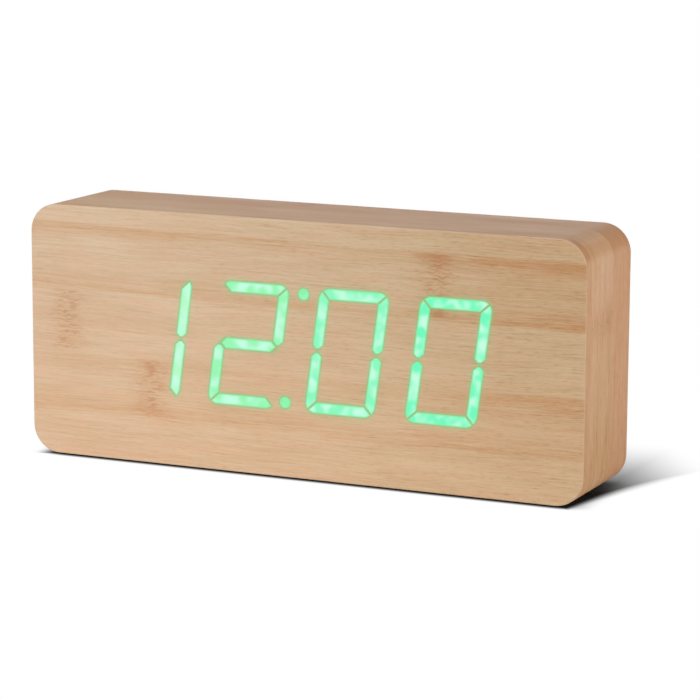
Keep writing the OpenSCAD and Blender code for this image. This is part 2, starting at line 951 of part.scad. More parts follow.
// Black moulded plate with a thin lip on the back board, a skirt and posts that carry the control board
module control_plate() {
    color(black_plastic)
        difference() {
            union() {
                upright(board_face_y, plate_face_y)
                    translate([control_x, 0])
                        rounded_rect(
                            2 * (control_half_l + plate_lip_x), 2 * (control_half_h + plate_lip_z),
                            control_corner_r + plate_lip_z
                        );
                upright(plate_in_y, plate_face_y)
                    control_outline(0);
                upright(plate_in_y - plate_skirt, plate_in_y)
                    difference() {
                        control_outline(0);
                        translate([control_x, 0])
                            square(
                                [2 * (control_half_l - plate_wall), 2 * (control_half_h - plate_wall)],
                                center = true
                            );
                    }
                for (p = control_post_places)
                    rod_y(p[0], p[1], control_face_y, plate_in_y, control_post_r);
                rod_y(mic_x, 0, plate_in_y - mic_l / 2, plate_in_y, mic_r + mic_collar);
            }
            for (x = button_xs)
                rod_y(x, 0, plate_in_y - over, plate_face_y + over, button_r + run_gap);
            rod_y(inlet_x, 0, plate_in_y - over, plate_face_y + over, inlet_nose_r + face_gap);
            rod_y(mic_x, 0, plate_in_y - mic_l, plate_in_y, mic_r);
            rod_y(mic_x, 0, plate_in_y - over, plate_face_y + over, mic_hole_r);
            for (p = control_post_places)
                rod_y(
                    p[0], p[1], control_face_y - over, control_face_y + control_screw_l - board_t + face_gap,
                    control_screw_r
                );
            for (p = plate_screw_places)
                countersink(p, plate_face_y);
        }
}

control_post_places = [
    for (sx = [-1, 1], sz = [-1, 1]) [control_x + sx * control_post_x, sz * control_post_z]
];

// Hole for a countersunk screw whose head is flush at y
module countersink(place, y) {
    rod_y(place[0], place[1], y - frame_screw_l - over, y, frame_screw_r);
    rod_y(place[0], place[1], y - frame_head_h, y, frame_screw_r, frame_head_r);
}

// Countersunk screws of the battery frame and the control plate
module frame_screws() {
    color(steel)
        for (p = lip_screw_places)
            difference() {
                union() {
                    rod_y(p[0], p[1], frame_face_y - frame_screw_l, frame_face_y, frame_screw_r);
                    rod_y(
                        p[0], p[1], frame_face_y - frame_head_h, frame_face_y, frame_screw_r, frame_head_r
                    );
                }
                for (a = [0, 90])
                    translate([p[0], frame_face_y, case_mid_z + p[1]])
                        rotate([0, a, 0])
                            translate([
                                -frame_head_r * head_slot_share, -frame_head_h * head_slot_share,
                                -head_slot_w / 2,
                            ])
                                cube([2 * frame_head_r * head_slot_share, frame_head_h, head_slot_w]);
            }
}

module control_board() {
    color(green_board)
        upright(control_back_y, control_face_y)
            difference() {
                translate([control_x, 0])
                    square(
                        2 * [control_half_l - control_board_in, control_half_h - control_board_in],
                        center = true
                    );
                for (p = control_post_places)
                    translate(p)
                        circle(control_screw_r);
            }
}

module control_board_screws() {
    color(steel)
        for (p = control_post_places)
            pan_screw(
                p, control_back_y, -1, control_screw_r, control_screw_l, control_head_r, control_head_h
            );
}

plunger_low_y = control_face_y + switch_h - plunger_in;

// Square bodies of the push switches with their legs, each bored for its plunger
module switch_bodies() {
    color([0.2, 0.2, 0.21])
        for (x = button_xs)
            difference() {
                union() {
                    block(
                        [x - switch_w / 2, control_face_y, -switch_w / 2],
                        [x + switch_w / 2, control_face_y + switch_h, switch_w / 2]
                    );
                    for (sz = [-1, 1])
                        block(
                            [
                                x - switch_w / 2 - switch_leg_w, control_face_y,
                                sz * switch_w / 3 - switch_leg_w / 2,
                            ],
                            [
                                x + switch_w / 2 + switch_leg_w, control_face_y + switch_leg_t,
                                sz * switch_w / 3 + switch_leg_w / 2,
                            ]
                        );
                }
                rod_y(
                    x, 0, plunger_low_y - button_travel - run_gap, control_face_y + switch_h + over,
                    plunger_r + hinge_run
                );
            }
}

// Cap with a bevelled top, a flange that stops it under the plate, and a stem
module button(x) {
    top_y = plate_face_y - button_sink;
    color([0.13, 0.13, 0.14]) {
        rod_y(x, 0, top_y - button_dome, top_y, button_r, button_r - button_dome);
        rod_y(x, 0, button_in_y, top_y - button_dome, button_r);
        rod_y(x, 0, button_in_y, button_in_y + button_flange_t, button_r + button_flange);
        rod_y(x, 0, plunger_top_y, button_in_y, stem_r);
    }
}

module set_button() {
    button(button_xs[0]);
}

module up_button() {
    button(button_xs[1]);
}

module down_button() {
    button(button_xs[2]);
}

module plunger(x) {
    color([0.85, 0.2, 0.15])
        rod_y(x, 0, plunger_low_y, plunger_top_y, plunger_r);
}

module set_plunger() {
    plunger(button_xs[0]);
}

module up_plunger() {
    plunger(button_xs[1]);
}

module down_plunger() {
    plunger(button_xs[2]);
}

inlet_tip_y = plate_face_y - inlet_sink;

// Square housing of the round power socket with its nose through the plate
module power_inlet() {
    color([0.07, 0.07, 0.08])
        difference() {
            union() {
                block(
                    [inlet_x - inlet_w / 2, control_face_y, -inlet_w / 2],
                    [inlet_x + inlet_w / 2, plate_in_y - face_gap, inlet_w / 2]
                );
                rod_y(inlet_x, 0, plate_in_y - 2 * face_gap, inlet_tip_y, inlet_nose_r);
            }
            rod_y(inlet_x, 0, inlet_tip_y - socket_l, inlet_tip_y + over, socket_r);
        }
}

module inlet_pin() {
    color(tin)
        rod_y(inlet_x, 0, inlet_tip_y - socket_l, inlet_tip_y - inlet_tip, pin_r);
}

// Microphone capsule held in the plate's collar, with its two legs
module microphone() {
    color(tin) {
        rod_y(mic_x, 0, plate_in_y - mic_l, plate_in_y, mic_r);
        for (sx = [-1, 1])
            rod_y(mic_x + sx * mic_leg_x, 0, control_face_y, plate_in_y - mic_l, mic_leg_r);
    }
}

function cell_z(i) = (i - (cell_count - 1) / 2) * cell_pitch;
cell_end_x = frame_half_l - contact_t;
catch_y = board_face_y;
recess_r = 5;
recess_deep = 0.6;

// Block between two corners, with x counted from the middle of the battery frame
module frame_block(low, high) {
    block(low + [battery_x, 0, 0], high + [battery_x, 0, 0]);
}

// Moulded frame: cell saddles, channels for the contacts, door seat, hinge holes and latch pocket
module battery_frame() {
    lip_low_z = frame_low_z - frame_lip_z;
    lip_h = frame_top_z + frame_lip_z - lip_low_z;
    color(black_plastic)
        difference() {
            union() {
                upright(board_face_y, frame_face_y)
                    translate([battery_x, lip_low_z + lip_h / 2])
                        rounded_rect(2 * (frame_half_w + frame_lip_x), lip_h, frame_corner_r);
                frame_block(
                    [-frame_half_w, frame_back_y, frame_low_z],
                    [frame_half_w, frame_face_y, frame_wall_top_z]
                );
                frame_block(
                    [-pocket_half_w - pocket_wall, pocket_in_y - pocket_wall, 0],
                    [pocket_half_w + pocket_wall, frame_face_y, frame_top_z]
                );
            }
            frame_block(
                [-frame_half_l, frame_floor_y + saddle_h, -frame_half_h],
                [frame_half_l, frame_face_y + over, frame_half_h]
            );
            for (i = [0:cell_count - 1])
                rod_x(
                    cell_y, cell_z(i), battery_x - frame_half_l, battery_x + frame_half_l,
                    cell_r + cell_clear
                );
            for (x = [-frame_half_l, cell_end_x])
                frame_block(
                    [x, frame_floor_y, -frame_half_h],
                    [x + contact_t, frame_floor_y + saddle_h + over, frame_half_h]
                );
            frame_block(
                [-door_half_w - slip, door_in_y - face_gap, hinge_z],
                [door_half_w + slip, frame_face_y + over, door_top_z + slip]
            );
            frame_block(
                [-door_half_w - slip, hinge_y, hinge_z - barrel_r - slip],
                [door_half_w + slip, frame_face_y + over, hinge_z]
            );
            rod_x(
                hinge_y, hinge_z, battery_x - door_half_w - slip, battery_x + door_half_w + slip,
                barrel_r + slip
            );
            rod_x(
                hinge_y, hinge_z, battery_x - door_half_w - hinge_pin_l - slip,
                battery_x + door_half_w + hinge_pin_l + slip, hinge_pin_r + hinge_run
            );
            frame_block([-pocket_half_w, pocket_in_y, 0], [pocket_half_w, catch_y, pocket_top_z]);
            frame_block(
                [-pocket_half_w, pocket_in_y, 0],
                [pocket_half_w, frame_face_y + over, latch_top_z + latch_room]
            );
            rod_y(battery_x, latch_top_z, frame_face_y - recess_deep, frame_face_y + over, recess_r);
            for (p = frame_screw_places)
                countersink(p, frame_face_y);
        }
}

// Contact strips: single ones at the ends of the row, and pairs that join one cell to the next
module contact_plates() {
    half = cell_r * contact_share;
    color(tin)
        for (run = [[-1, 0, 0], [-1, 1, 2], [-1, 3, 3], [1, 0, 1], [1, 2, 3]])
            frame_block(
                [
                    run[0] > 0 ? cell_end_x : -frame_half_l, frame_floor_y,
                    cell_z(run[1]) - half,
                ],
                [
                    run[0] > 0 ? frame_half_l : -cell_end_x, cell_y + half,
                    cell_z(run[2]) + half,
                ]
            );
}

function unit(v) = v / norm(v);
function path_way(path, k) = unit(path[min(k + 1, len(path) - 1)] - path[max(k - 1, 0)]);

// Round tube of radius r swept along a path; side is a direction that the path never takes
module tube(path, r, sides, side) {
    last = len(path) - 1;
    points = [
        for (k = [0:last])
            let (way = path_way(path, k), u = unit(cross(way, side)), v = cross(way, u))
                for (s = [0:sides - 1])
                    path[k] + r * (cos(360 * s / sides) * u + sin(360 * s / sides) * v)
    ];
    walls = [
        for (k = [0:last - 1], s = [0:sides - 1])
            let (a = k * sides + s, b = k * sides + (s + 1) % sides)
                each [[a, b, a + sides], [b, b + sides, a + sides]]
    ];
    near = [for (s = [1:sides - 2]) [0, s + 1, s]];
    far = [for (s = [1:sides - 2]) [last * sides, last * sides + s, last * sides + s + 1]];
    polyhedron(points, concat(walls, near, far));
}

// Tapering coil from its plate at x = 0 to the flat end of a cell
function coil_path() = [
    for (k = [0:spring_turns * spring_rings])
        let (
            share = k / (spring_turns * spring_rings),
            r = spring_base_r + (spring_tip_r - spring_base_r) * share,
            a = 360 * spring_turns * share
        )
            [spring_wire_r + (spring_l - 2 * spring_wire_r) * share, r * cos(a), r * sin(a)]
];

// Springs press the flat ends of the cells, which lie head to tail
module contact_springs() {
    color(steel)
        for (i = [0:cell_count - 1])
            translate([battery_x, cell_y, case_mid_z + cell_z(i)])
                mirror([i % 2, 0, 0])
                    translate([-cell_end_x, 0, 0])
                        tube(coil_path(), spring_wire_r, spring_sides, [1, 0, 0]);
}

// Battery cell lying along X; its terminal points right on even places and left on odd ones
module cell(i) {
    body_l = cell_l - nub_l;
    color([0.2, 0.42, 0.3])
        translate([battery_x, cell_y, case_mid_z + cell_z(i)])
            mirror([i % 2, 0, 0])
                translate([cell_end_x - cell_l, 0, 0])
                    rotate([0, 90, 0]) {
                        cylinder(h = cell_bevel, r1 = cell_r - cell_bevel, r2 = cell_r);
                        translate([0, 0, cell_bevel])
                            cylinder(h = body_l - 2 * cell_bevel, r = cell_r);
                        translate([0, 0, body_l - cell_bevel])
                            cylinder(h = cell_bevel, r1 = cell_r, r2 = cell_r - cell_bevel);
                        cylinder(h = cell_l, r = nub_r);
                    }
}

module cell_1() {
    cell(0);
}

module cell_2() {
    cell(1);
}

module cell_3() {
    cell(2);
}

module cell_4() {
    cell(3);
}

// Door with a round lower edge that turns in the frame on two pins, and finger grooves near its latch
module battery_door() {
    color([0.12, 0.12, 0.13])
        difference() {
            union() {
                frame_block([-door_half_w, door_in_y, hinge_z], [door_half_w, frame_face_y, door_top_z]);
                rod_x(hinge_y, hinge_z, battery_x - door_half_w, battery_x + door_half_w, barrel_r);
                rod_x(
                    hinge_y, hinge_z, battery_x - door_half_w - hinge_pin_l,
                    battery_x + door_half_w + hinge_pin_l, hinge_pin_r
                );
            }
            for (k = [1:grip_count])
                frame_block(
                    [-grip_half_l, frame_face_y - grip_deep, door_top_z - k * grip_pitch - grip_w / 2],
                    [grip_half_l, frame_face_y + over, door_top_z - k * grip_pitch + grip_w / 2]
                );
        }
}

// Spring finger at the door's top edge: a leg, a bend and a second leg with the hook that catches the frame
module door_latch() {
    bend_y = door_in_y - latch_deep;
    color([0.12, 0.12, 0.13])
        along_x(battery_x - latch_w / 2, battery_x + latch_w / 2) {
            translate([bend_y, door_top_z - latch_t])
                square([latch_deep, latch_t]);
            intersection() {
                translate([bend_y, door_top_z + latch_bend_r])
                    difference() {
                        circle(latch_bend_r + latch_t);
                        circle(latch_bend_r);
                    }
                translate([bend_y - latch_bend_r - latch_t, door_top_z - latch_t])
                    square([latch_bend_r + latch_t, 2 * (latch_bend_r + latch_t)]);
            }
            translate([bend_y, latch_top_z - latch_t])
                square([frame_face_y - bend_y, latch_t]);
            polygon([
                [catch_y - run_gap, latch_top_z], [catch_y - run_gap, latch_top_z + latch_hook],
                [catch_y - run_gap - latch_hook_h, latch_top_z],
            ]);
        }
}

// Lead from the battery frame to the control board, hanging in one shallow bow between them
module lead(z) {
    start_x = battery_x - frame_half_w;
    end_x = control_x + control_half_l - control_board_in;
    lead_y = control_face_y + lead_r;
    bow_x = start_x - lead_stub;
    bow = [
        for (k = [0:lead_rings])
            let (share = k / lead_rings)
                [
                    bow_x + (end_x - bow_x) * share, lead_y,
                    case_mid_z + z - lead_sag * pow(sin(180 * share), 2),
                ]
    ];
    ends = [for (x = [start_x, end_x - lead_land]) [x, lead_y, case_mid_z + z]];
    tube(concat([ends[0]], bow, [ends[1]]), lead_r, lead_sides, [0, 1, 0]);
}

module red_lead() {
    color([0.75, 0.08, 0.06])
        lead(lead_z[0]);
}

module black_lead() {
    color([0.06, 0.06, 0.06])
        lead(lead_z[1]);
}

front_veneer();
edge_veneer();
case_core();
back_board();
back_veneer();
back_screws();
pad_front_left();
pad_front_right();
pad_back_left();
pad_back_right();
hour_tens_digit();
hour_units_digit();
colon_dots();
minute_tens_digit();
minute_units_digit();
diffuser_sheet();
reflector();
display_board();
led_chips();
display_screws();
clock_chip();
driver_chips();
crystal();
buzzer();
backup_cell_holder();
backup_cell();
capacitors();
ribbon_headers();
ribbon_cable();
control_plate();
control_board();
control_board_screws();
switch_bodies();
set_button();
up_button();
down_button();
set_plunger();
up_plunger();
down_plunger();
power_inlet();
inlet_pin();
microphone();
battery_frame();
frame_screws();
contact_plates();
contact_springs();
cell_1();
cell_2();
cell_3();
cell_4();
battery_door();
door_latch();
red_lead();
black_lead();
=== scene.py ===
import math
from functools import reduce

import bpy
import numpy as np
from mathutils import Matrix, Vector


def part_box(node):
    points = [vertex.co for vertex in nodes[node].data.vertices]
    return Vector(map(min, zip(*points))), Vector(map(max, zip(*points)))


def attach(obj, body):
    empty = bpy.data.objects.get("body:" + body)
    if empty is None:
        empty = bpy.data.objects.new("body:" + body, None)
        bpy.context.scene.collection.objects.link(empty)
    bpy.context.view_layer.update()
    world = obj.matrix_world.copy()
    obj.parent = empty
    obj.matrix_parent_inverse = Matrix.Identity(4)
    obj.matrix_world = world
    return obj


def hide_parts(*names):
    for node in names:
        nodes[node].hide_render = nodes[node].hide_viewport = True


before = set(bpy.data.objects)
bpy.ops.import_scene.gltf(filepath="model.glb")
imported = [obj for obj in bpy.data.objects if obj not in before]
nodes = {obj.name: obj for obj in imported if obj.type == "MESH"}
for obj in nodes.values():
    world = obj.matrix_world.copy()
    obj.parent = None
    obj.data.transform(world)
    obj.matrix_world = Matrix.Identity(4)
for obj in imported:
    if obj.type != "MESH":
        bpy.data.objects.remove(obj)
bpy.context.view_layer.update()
MM = 0.001

# Sizes of the slab, read from the frame; the corner radius and edges repeat the case's own values
band_low, band_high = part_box("edge_veneer")
front_low, front_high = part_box("front_veneer")
case_w = band_high.x - band_low.x
case_h = band_high.z - band_low.z
case_mid_z = (band_high.z + band_low.z) / 2
wood_bottom = band_low.z / MM
CORNER_R = 10 * MM
EDGE_EASE = 0.5 * MM
VENEER_T = front_high.y - front_low.y
RIM_W = 3 * MM

# Sizes of the digits; the box of a nought gives its height, width and place
nought_low, nought_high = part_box("minute_tens_digit")
last_low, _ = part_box("minute_units_digit")
LEAN_SHARE = 0.135
SEGMENT_W = 3.8 * MM
SEGMENT_GAP = 0.6 * MM
DIGIT_CORNER_R = 4 * MM
MIDDLE_GAP = 1.5 * MM
TIP_FLAT = 1.2 * MM
DOT_R = 2.05 * MM
digit_h = nought_high.z - nought_low.z
corner_loss = 1 + LEAN_SHARE - math.hypot(1, LEAN_SHARE)
digit_w = nought_high.x - nought_low.x - LEAN_SHARE * digit_h + 2 * DIGIT_CORNER_R * corner_loss
digit_mid_z = (nought_high.z + nought_low.z) / 2
digit_pitch = last_low.x - nought_low.x
digit_mid_x = (nought_low.x + nought_high.x) / 2 - digit_pitch / 2
# Place of each numeral from the left and its lit segments, clockwise from the top, the middle last
NUMERALS = {
    "hour_tens_digit": (0, (1, 2)),
    "hour_units_digit": (1, (0, 1, 3, 4, 6)),
    "minute_tens_digit": (2, (0, 1, 2, 3, 4, 5)),
    "minute_units_digit": (3, (0, 1, 2, 3, 4, 5)),
}
MIDDLE_PLACE = 1.5

# Seeds of the noises of the three faces' grain, the first knuckle, the first numeral's film and the dots
FRONT_SEED, BAND_SEED, BACK_SEED = 1.0, 31.0, 51.0
KNUCKLE_SEED, FILM_SEED, DOT_SEED = 21.0, 3.0, 41.0

# Camera of the photograph, solved from the slab's straight edges and round corners
CAMERA_PLACE = Vector((434.73, -935.65, 235.39)) * MM
CAMERA_YAW = math.radians(24.4182)
CAMERA_PITCH = math.radians(10.5847)
CAMERA_ROLL = math.radians(0.2672)
CAMERA_LENS = 153.92
SENSOR_W = 36
CLIPS = (0.05, 50)


def add_object(name, data):
    """New object of this data, in the scene."""
    made = bpy.data.objects.new(name, data)
    bpy.context.scene.collection.objects.link(made)
    return made


def studio_camera():
    """Camera that looks yaw to the left of +Y and pitch down, rolled about that direction."""
    camera = add_object("camera", bpy.data.cameras.new("camera"))
    camera.data.lens = CAMERA_LENS
    camera.data.sensor_width = SENSOR_W
    camera.data.clip_start, camera.data.clip_end = CLIPS
    turned = Matrix.Rotation(CAMERA_YAW, 4, "Z") @ Matrix.Rotation(math.pi / 2 - CAMERA_PITCH, 4, "X")
    turned = turned @ Matrix.Rotation(CAMERA_ROLL, 4, "Z")
    camera.matrix_world = Matrix.Translation(CAMERA_PLACE) @ turned
    bpy.context.scene.camera = camera


def paint(red, green, blue):
    """Colour given as 0 to 255 on a screen, in the linear values that a shader takes, by the sRGB curve."""
    shares = np.array((red, green, blue)) / 255
    linear = np.where(shares > 0.04045, ((shares + 0.055) / 1.055) ** 2.4, shares / 12.92)
    return (*(float(c) for c in linear), 1.0)


class Value:
    """A number, colour or vector that varies over a surface. Operators on numbers add Math nodes."""

    def __init__(self, recipe, socket):
        self.recipe = recipe
        self.socket = socket

    def __add__(self, other):
        return self.recipe.math("ADD", self, other)

    def __sub__(self, other):
        return self.recipe.math("SUBTRACT", self, other)

    def __mul__(self, other):
        return self.recipe.math("MULTIPLY", self, other)

    def __truediv__(self, other):
        return self.recipe.math("DIVIDE", self, other)

    def __pow__(self, other):
        return self.recipe.math("POWER", self, other)

    def __rsub__(self, other):
        return self.recipe.math("SUBTRACT", other, self)

    def __rtruediv__(self, other):
        return self.recipe.math("DIVIDE", other, self)

    __radd__ = __add__
    __rmul__ = __mul__


# Numbers of a Mix node's colour sockets: the factor, the two colours and the result
MIX_FACTOR, MIX_LOW, MIX_HIGH, MIX_RESULT = 0, 6, 7, 2


class Recipe:
    """A node tree being filled: node() adds any node, and the rest are the few forms that repeat."""

    def __init__(self, tree):
        self.tree = tree

    def node(self, kind, settings=None, inputs=None, output=0):
        """One output of a new node of this kind, whose settings are made before its inputs."""
        made = self.tree.nodes.new(kind)
        for key, value in (settings or {}).items():
            setattr(made, key, value)
        for key, value in (inputs or {}).items():
            self.feed(made.inputs[key], value)
        return Value(self, made.outputs[output])

    def feed(self, socket, value):
        """Links the socket to a Value, or sets it to a plain number, colour or vector."""
        if isinstance(value, Value):
            self.tree.links.new(value.socket, socket)
        else:
            socket.default_value = value

    def math(self, operation, *values):
        return self.node("ShaderNodeMath", {"operation": operation}, dict(enumerate(values)))

    def most(self, one, other):
        return self.math("MAXIMUM", one, other)

    def least(self, one, other):
        return self.math("MINIMUM", one, other)

    def size(self, value):
        """The number without its sign."""
        return self.math("ABSOLUTE", value)

    def parts(self, vector):
        """The three numbers of a vector."""
        return [self.node("ShaderNodeSeparateXYZ", None, {0: vector}, k) for k in range(3)]

    def noise(self, x, y, z=0.0, detail=2.0, roughness=0.5):
        """Noise from 0 to 1 at a point whose three numbers are already scaled."""
        point = self.node("ShaderNodeCombineXYZ", None, {0: x, 1: y, 2: z})
        inputs = {"Vector": point, "Scale": 1.0, "Detail": detail, "Roughness": roughness}
        return self.node("ShaderNodeTexNoise", None, inputs)

    def rise(self, value, low, high):
        """0 below low, 1 above high and a smooth step between."""
        inputs = {"Value": value, "From Min": low, "From Max": high}
        return self.node("ShaderNodeMapRange", {"interpolation_type": "SMOOTHSTEP"}, inputs)

    def hill(self, value, middle, half_width):
        """1 at middle, falling to about a third at half_width on either side."""
        away = (value - middle) / half_width
        return self.math("EXPONENT", away * away * -1.0)

    def mix(self, low, high, share, blend="MIX"):
        """Colour low where share is 0 and high where it is 1, or low blended with high in another way."""
        settings = {"data_type": "RGBA", "blend_type": blend}
        return self.node(
            "ShaderNodeMix", settings, {MIX_FACTOR: share, MIX_LOW: low, MIX_HIGH: high}, MIX_RESULT
        )

    def keep(self, colour, shares, reach):
        """Colour whose red, green and blue are cut to these shares where reach is 1."""
        return self.mix(colour, shares, reach, "MULTIPLY")

    def bump(self, height, depth):
        """Normal of a surface raised by height, whose 1 stands depth metres high."""
        return self.node("ShaderNodeBump", None, {"Height": height, "Strength": 1.0, "Distance": depth})

    def straight_ray(self):
        """1 on the camera's rays and on those seen in a gloss or through something clear, 0 on the rest."""
        kinds = ("Camera", "Glossy", "Transmission")
        rays = [self.node("ShaderNodeLightPath", output=f"Is {kind} Ray") for kind in kinds]
        return self.least(rays[0] + rays[1] + rays[2], 1.0)


class Finish(Recipe):
    """One material being made; its place is Object coordinates in millimetres, as three numbers."""

    def __init__(self, name):
        self.material = bpy.data.materials.new(name)
        self.material.use_nodes = True
        super().__init__(self.material.node_tree)
        self.shader = self.tree.nodes["Principled BSDF"]
        where = self.node("ShaderNodeTexCoord", output="Object")
        scaled = self.node("ShaderNodeVectorMath", {"operation": "SCALE"}, {0: where, "Scale": 1 / MM})
        self.place = self.parts(scaled)

    def uv(self, name):
        """The two numbers of the piece's own UV map."""
        return self.parts(self.node("ShaderNodeUVMap", {"uv_map": name}))[:2]

    def lumps(self, per_mm, detail=2.0, roughness=0.5):
        """Noise from 0 to 1 that is alike in every direction, with about so many lumps per millimetre."""
        return self.noise(*(way * per_mm for way in self.place), detail, roughness)

    def surface(self, **inputs):
        """Sets the shader's sockets; underscores stand for the spaces in their names."""
        for key, value in inputs.items():
            self.feed(self.shader.inputs[key.replace("_", " ").title().replace("Ior", "IOR")], value)
        return self.material

    def grained(self, dark, pale, tone, grain, roughness, roughened, depth, **more):
        """Surface from dark to pale with tone; the grain roughens it and raises it by up to depth metres."""
        return self.surface(
            base_color=self.mix(dark, pale, tone), roughness=roughness + grain * roughened,
            normal=self.bump(grain, depth), **more,
        )


# Noises of the bamboo's grain: turns per millimetre along it and across it, detail and roughness
GRAIN_SWAY = (0.013, 0.035, 1.0, 0.5)
GRAIN_CLOUD = (0.02, 0.14, 2.0, 0.5)
GRAIN_STREAK = (0.03, 0.9, 3.0, 0.6)
GRAIN_FIBRE = (0.055, 1.9, 3.0, 0.65)
GRAIN_DASH = (0.3, 2.6, 1.0, 0.5)
# Height of the grain in the bump of every bamboo face
GRAIN_DEPTH = 0.02 * MM


def bamboo_grain(finish, along, across, seed):
    """Tone of bamboo from 0, pale, to 1, dark, then its dark and its pale fibres.

    They are noises stretched along the grain: slow streaks about 50 mm long and 1.5 mm tall, fibres 18 mm
    long and 0.5 mm tall, and between them dashes, the cut vessels, 3 mm long and less than 0.5 mm tall.
    """
    def stretched(kind, height, offset):
        per_along, per_across, detail, roughness = kind
        return finish.noise(along * per_along, height * per_across, seed + offset, detail, roughness)

    swayed = across + stretched(GRAIN_SWAY, across, 0.0) * 5.0
    cloud = stretched(GRAIN_CLOUD, swayed, 2.0)
    streak = stretched(GRAIN_STREAK, swayed, 4.0)
    fibre = stretched(GRAIN_FIBRE, swayed, 6.0)
    dash = stretched(GRAIN_DASH, swayed, 8.0)
    tone = finish.rise(cloud * 0.4 + streak * 0.4 + fibre * 0.2, 0.36, 0.64)
    dark = finish.rise(fibre, 0.53, 0.72) * 0.75 + finish.rise(dash, 0.56, 0.7) * 0.6
    pale = (1 - finish.rise(fibre, 0.32, 0.48)) * 0.75 + (1 - finish.rise(dash, 0.3, 0.42)) * 0.4
    return tone, dark, pale


def bamboo_surface(finish, colour, tone, fibre, roughness, roughened, gloss):
    """Bamboo of this colour: darker wood is rougher by as much as roughened, and its fibres lie deeper."""
    relief = finish.bump(1 - fibre * 0.7 - tone * 0.3, GRAIN_DEPTH)
    return finish.surface(
        base_color=colour, roughness=roughness + tone * roughened, normal=relief, specular_ior_level=gloss,
    )


# Joints between the front's strips: height above the wood's foot, slope to the right, side on which the
# darker band lies (-1 is below), its reach in millimetres at the left and the right end, and its strength
# at the two ends
STRIP_JOINTS = (
    (83.15, -0.0079, -1, 3.2, 3.8, 0.52, 1.22), (59.5, -0.0062, 1, 4.4, 5.0, 0.38, 0.66),
    (36.9, 0.0, -1, 4.6, 6.5, 0.2, 0.66), (15.8, 0.0, 1, 5.4, 5.0, 0.4, 0.3),
)
# Feet and heads of the strips that turn orange towards the right end, and how much
ORANGE_STRIPS = ((59.2, 82.6, 0.34), (16.0, 36.9, 0.12), (82.8, 92.0, 0.28))
# Knuckles of the stems: place across, foot and head above the wood's foot in millimetres, strength, and how
# much of a solid patch there is at its two ends
KNUCKLES = (
    (-90.5, 38.2, 60.2, 0.6, 0.0), (-57.0, 16.6, 37.3, 0.62, 0.1), (52.0, 60.2, 82.4, 0.7, 0.8),
)
WOOD_PALE = paint(222, 191, 158)
WOOD_DARK = paint(212, 175, 139)
WOOD_ORANGE = paint(206, 153, 108)
# Pale colour of the wood's pale fibres, also used as the painted highlight on the front's eased edge
WOOD_FIBRE_AND_EDGE_HIGHLIGHT = paint(230, 202, 172)
WOOD_KNUCKLE = paint(196, 140, 98)
WOOD_ROSY = paint(226, 184, 152)
# Shares of red, green and blue that the wood keeps in its fibres, and the painted shade it keeps at its
# right end and along its head
KEPT_IN_FIBRE = (0.78, 0.72, 0.64, 1)
PAINTED_SHADE_AT_RIGHT = (0.82, 0.80, 0.71, 1)
PAINTED_SHADE_AT_HEAD = (0.92, 0.965, 1.0, 1)
# Painted glow: green of the windows' light painted on the wood about them, how fast it fades per millimetre,
# and its share at their edge
GLOW_GREEN = paint(112, 210, 134)
GLOW_FADE = 1.6
GLOW_SHARE = 0.46
# Deeper painted glow close to them: where it ends, in millimetres, and its share
GLOW_RIM_GREEN = paint(124, 188, 114)
GLOW_RIM_END = (0.15, 0.5)
GLOW_RIM_SHARE = 0.34


def knuckle(finish, x, z, place, foot, head, patch, seed):
    """Stack of short wavy dashes across one strip, between foot and head, with ragged sides."""
    inside = finish.rise(z, foot, foot + 0.8) * (1 - finish.rise(z, head - 0.8, head))
    wander = (finish.noise(seed, z * 0.22, seed, 3.0, 0.6) - 0.5) * 12.0
    core = finish.hill(x + wander, place, 6.0)
    wave = finish.noise(x * 0.45, z * 0.25, seed + 1.0, 1.0) * 2.4
    ripple = finish.noise(x * 0.2, z * 1.35 + wave, seed, 2.0, 0.6)
    ends = finish.hill(z, head, 4.0) + finish.hill(z, foot, 3.0)
    solid = 0.22 + patch * ends * finish.hill(x, place, 9.0)
    return inside * (core * (0.1 + 0.9 * finish.rise(ripple, 0.48, 0.58)) + solid * core)


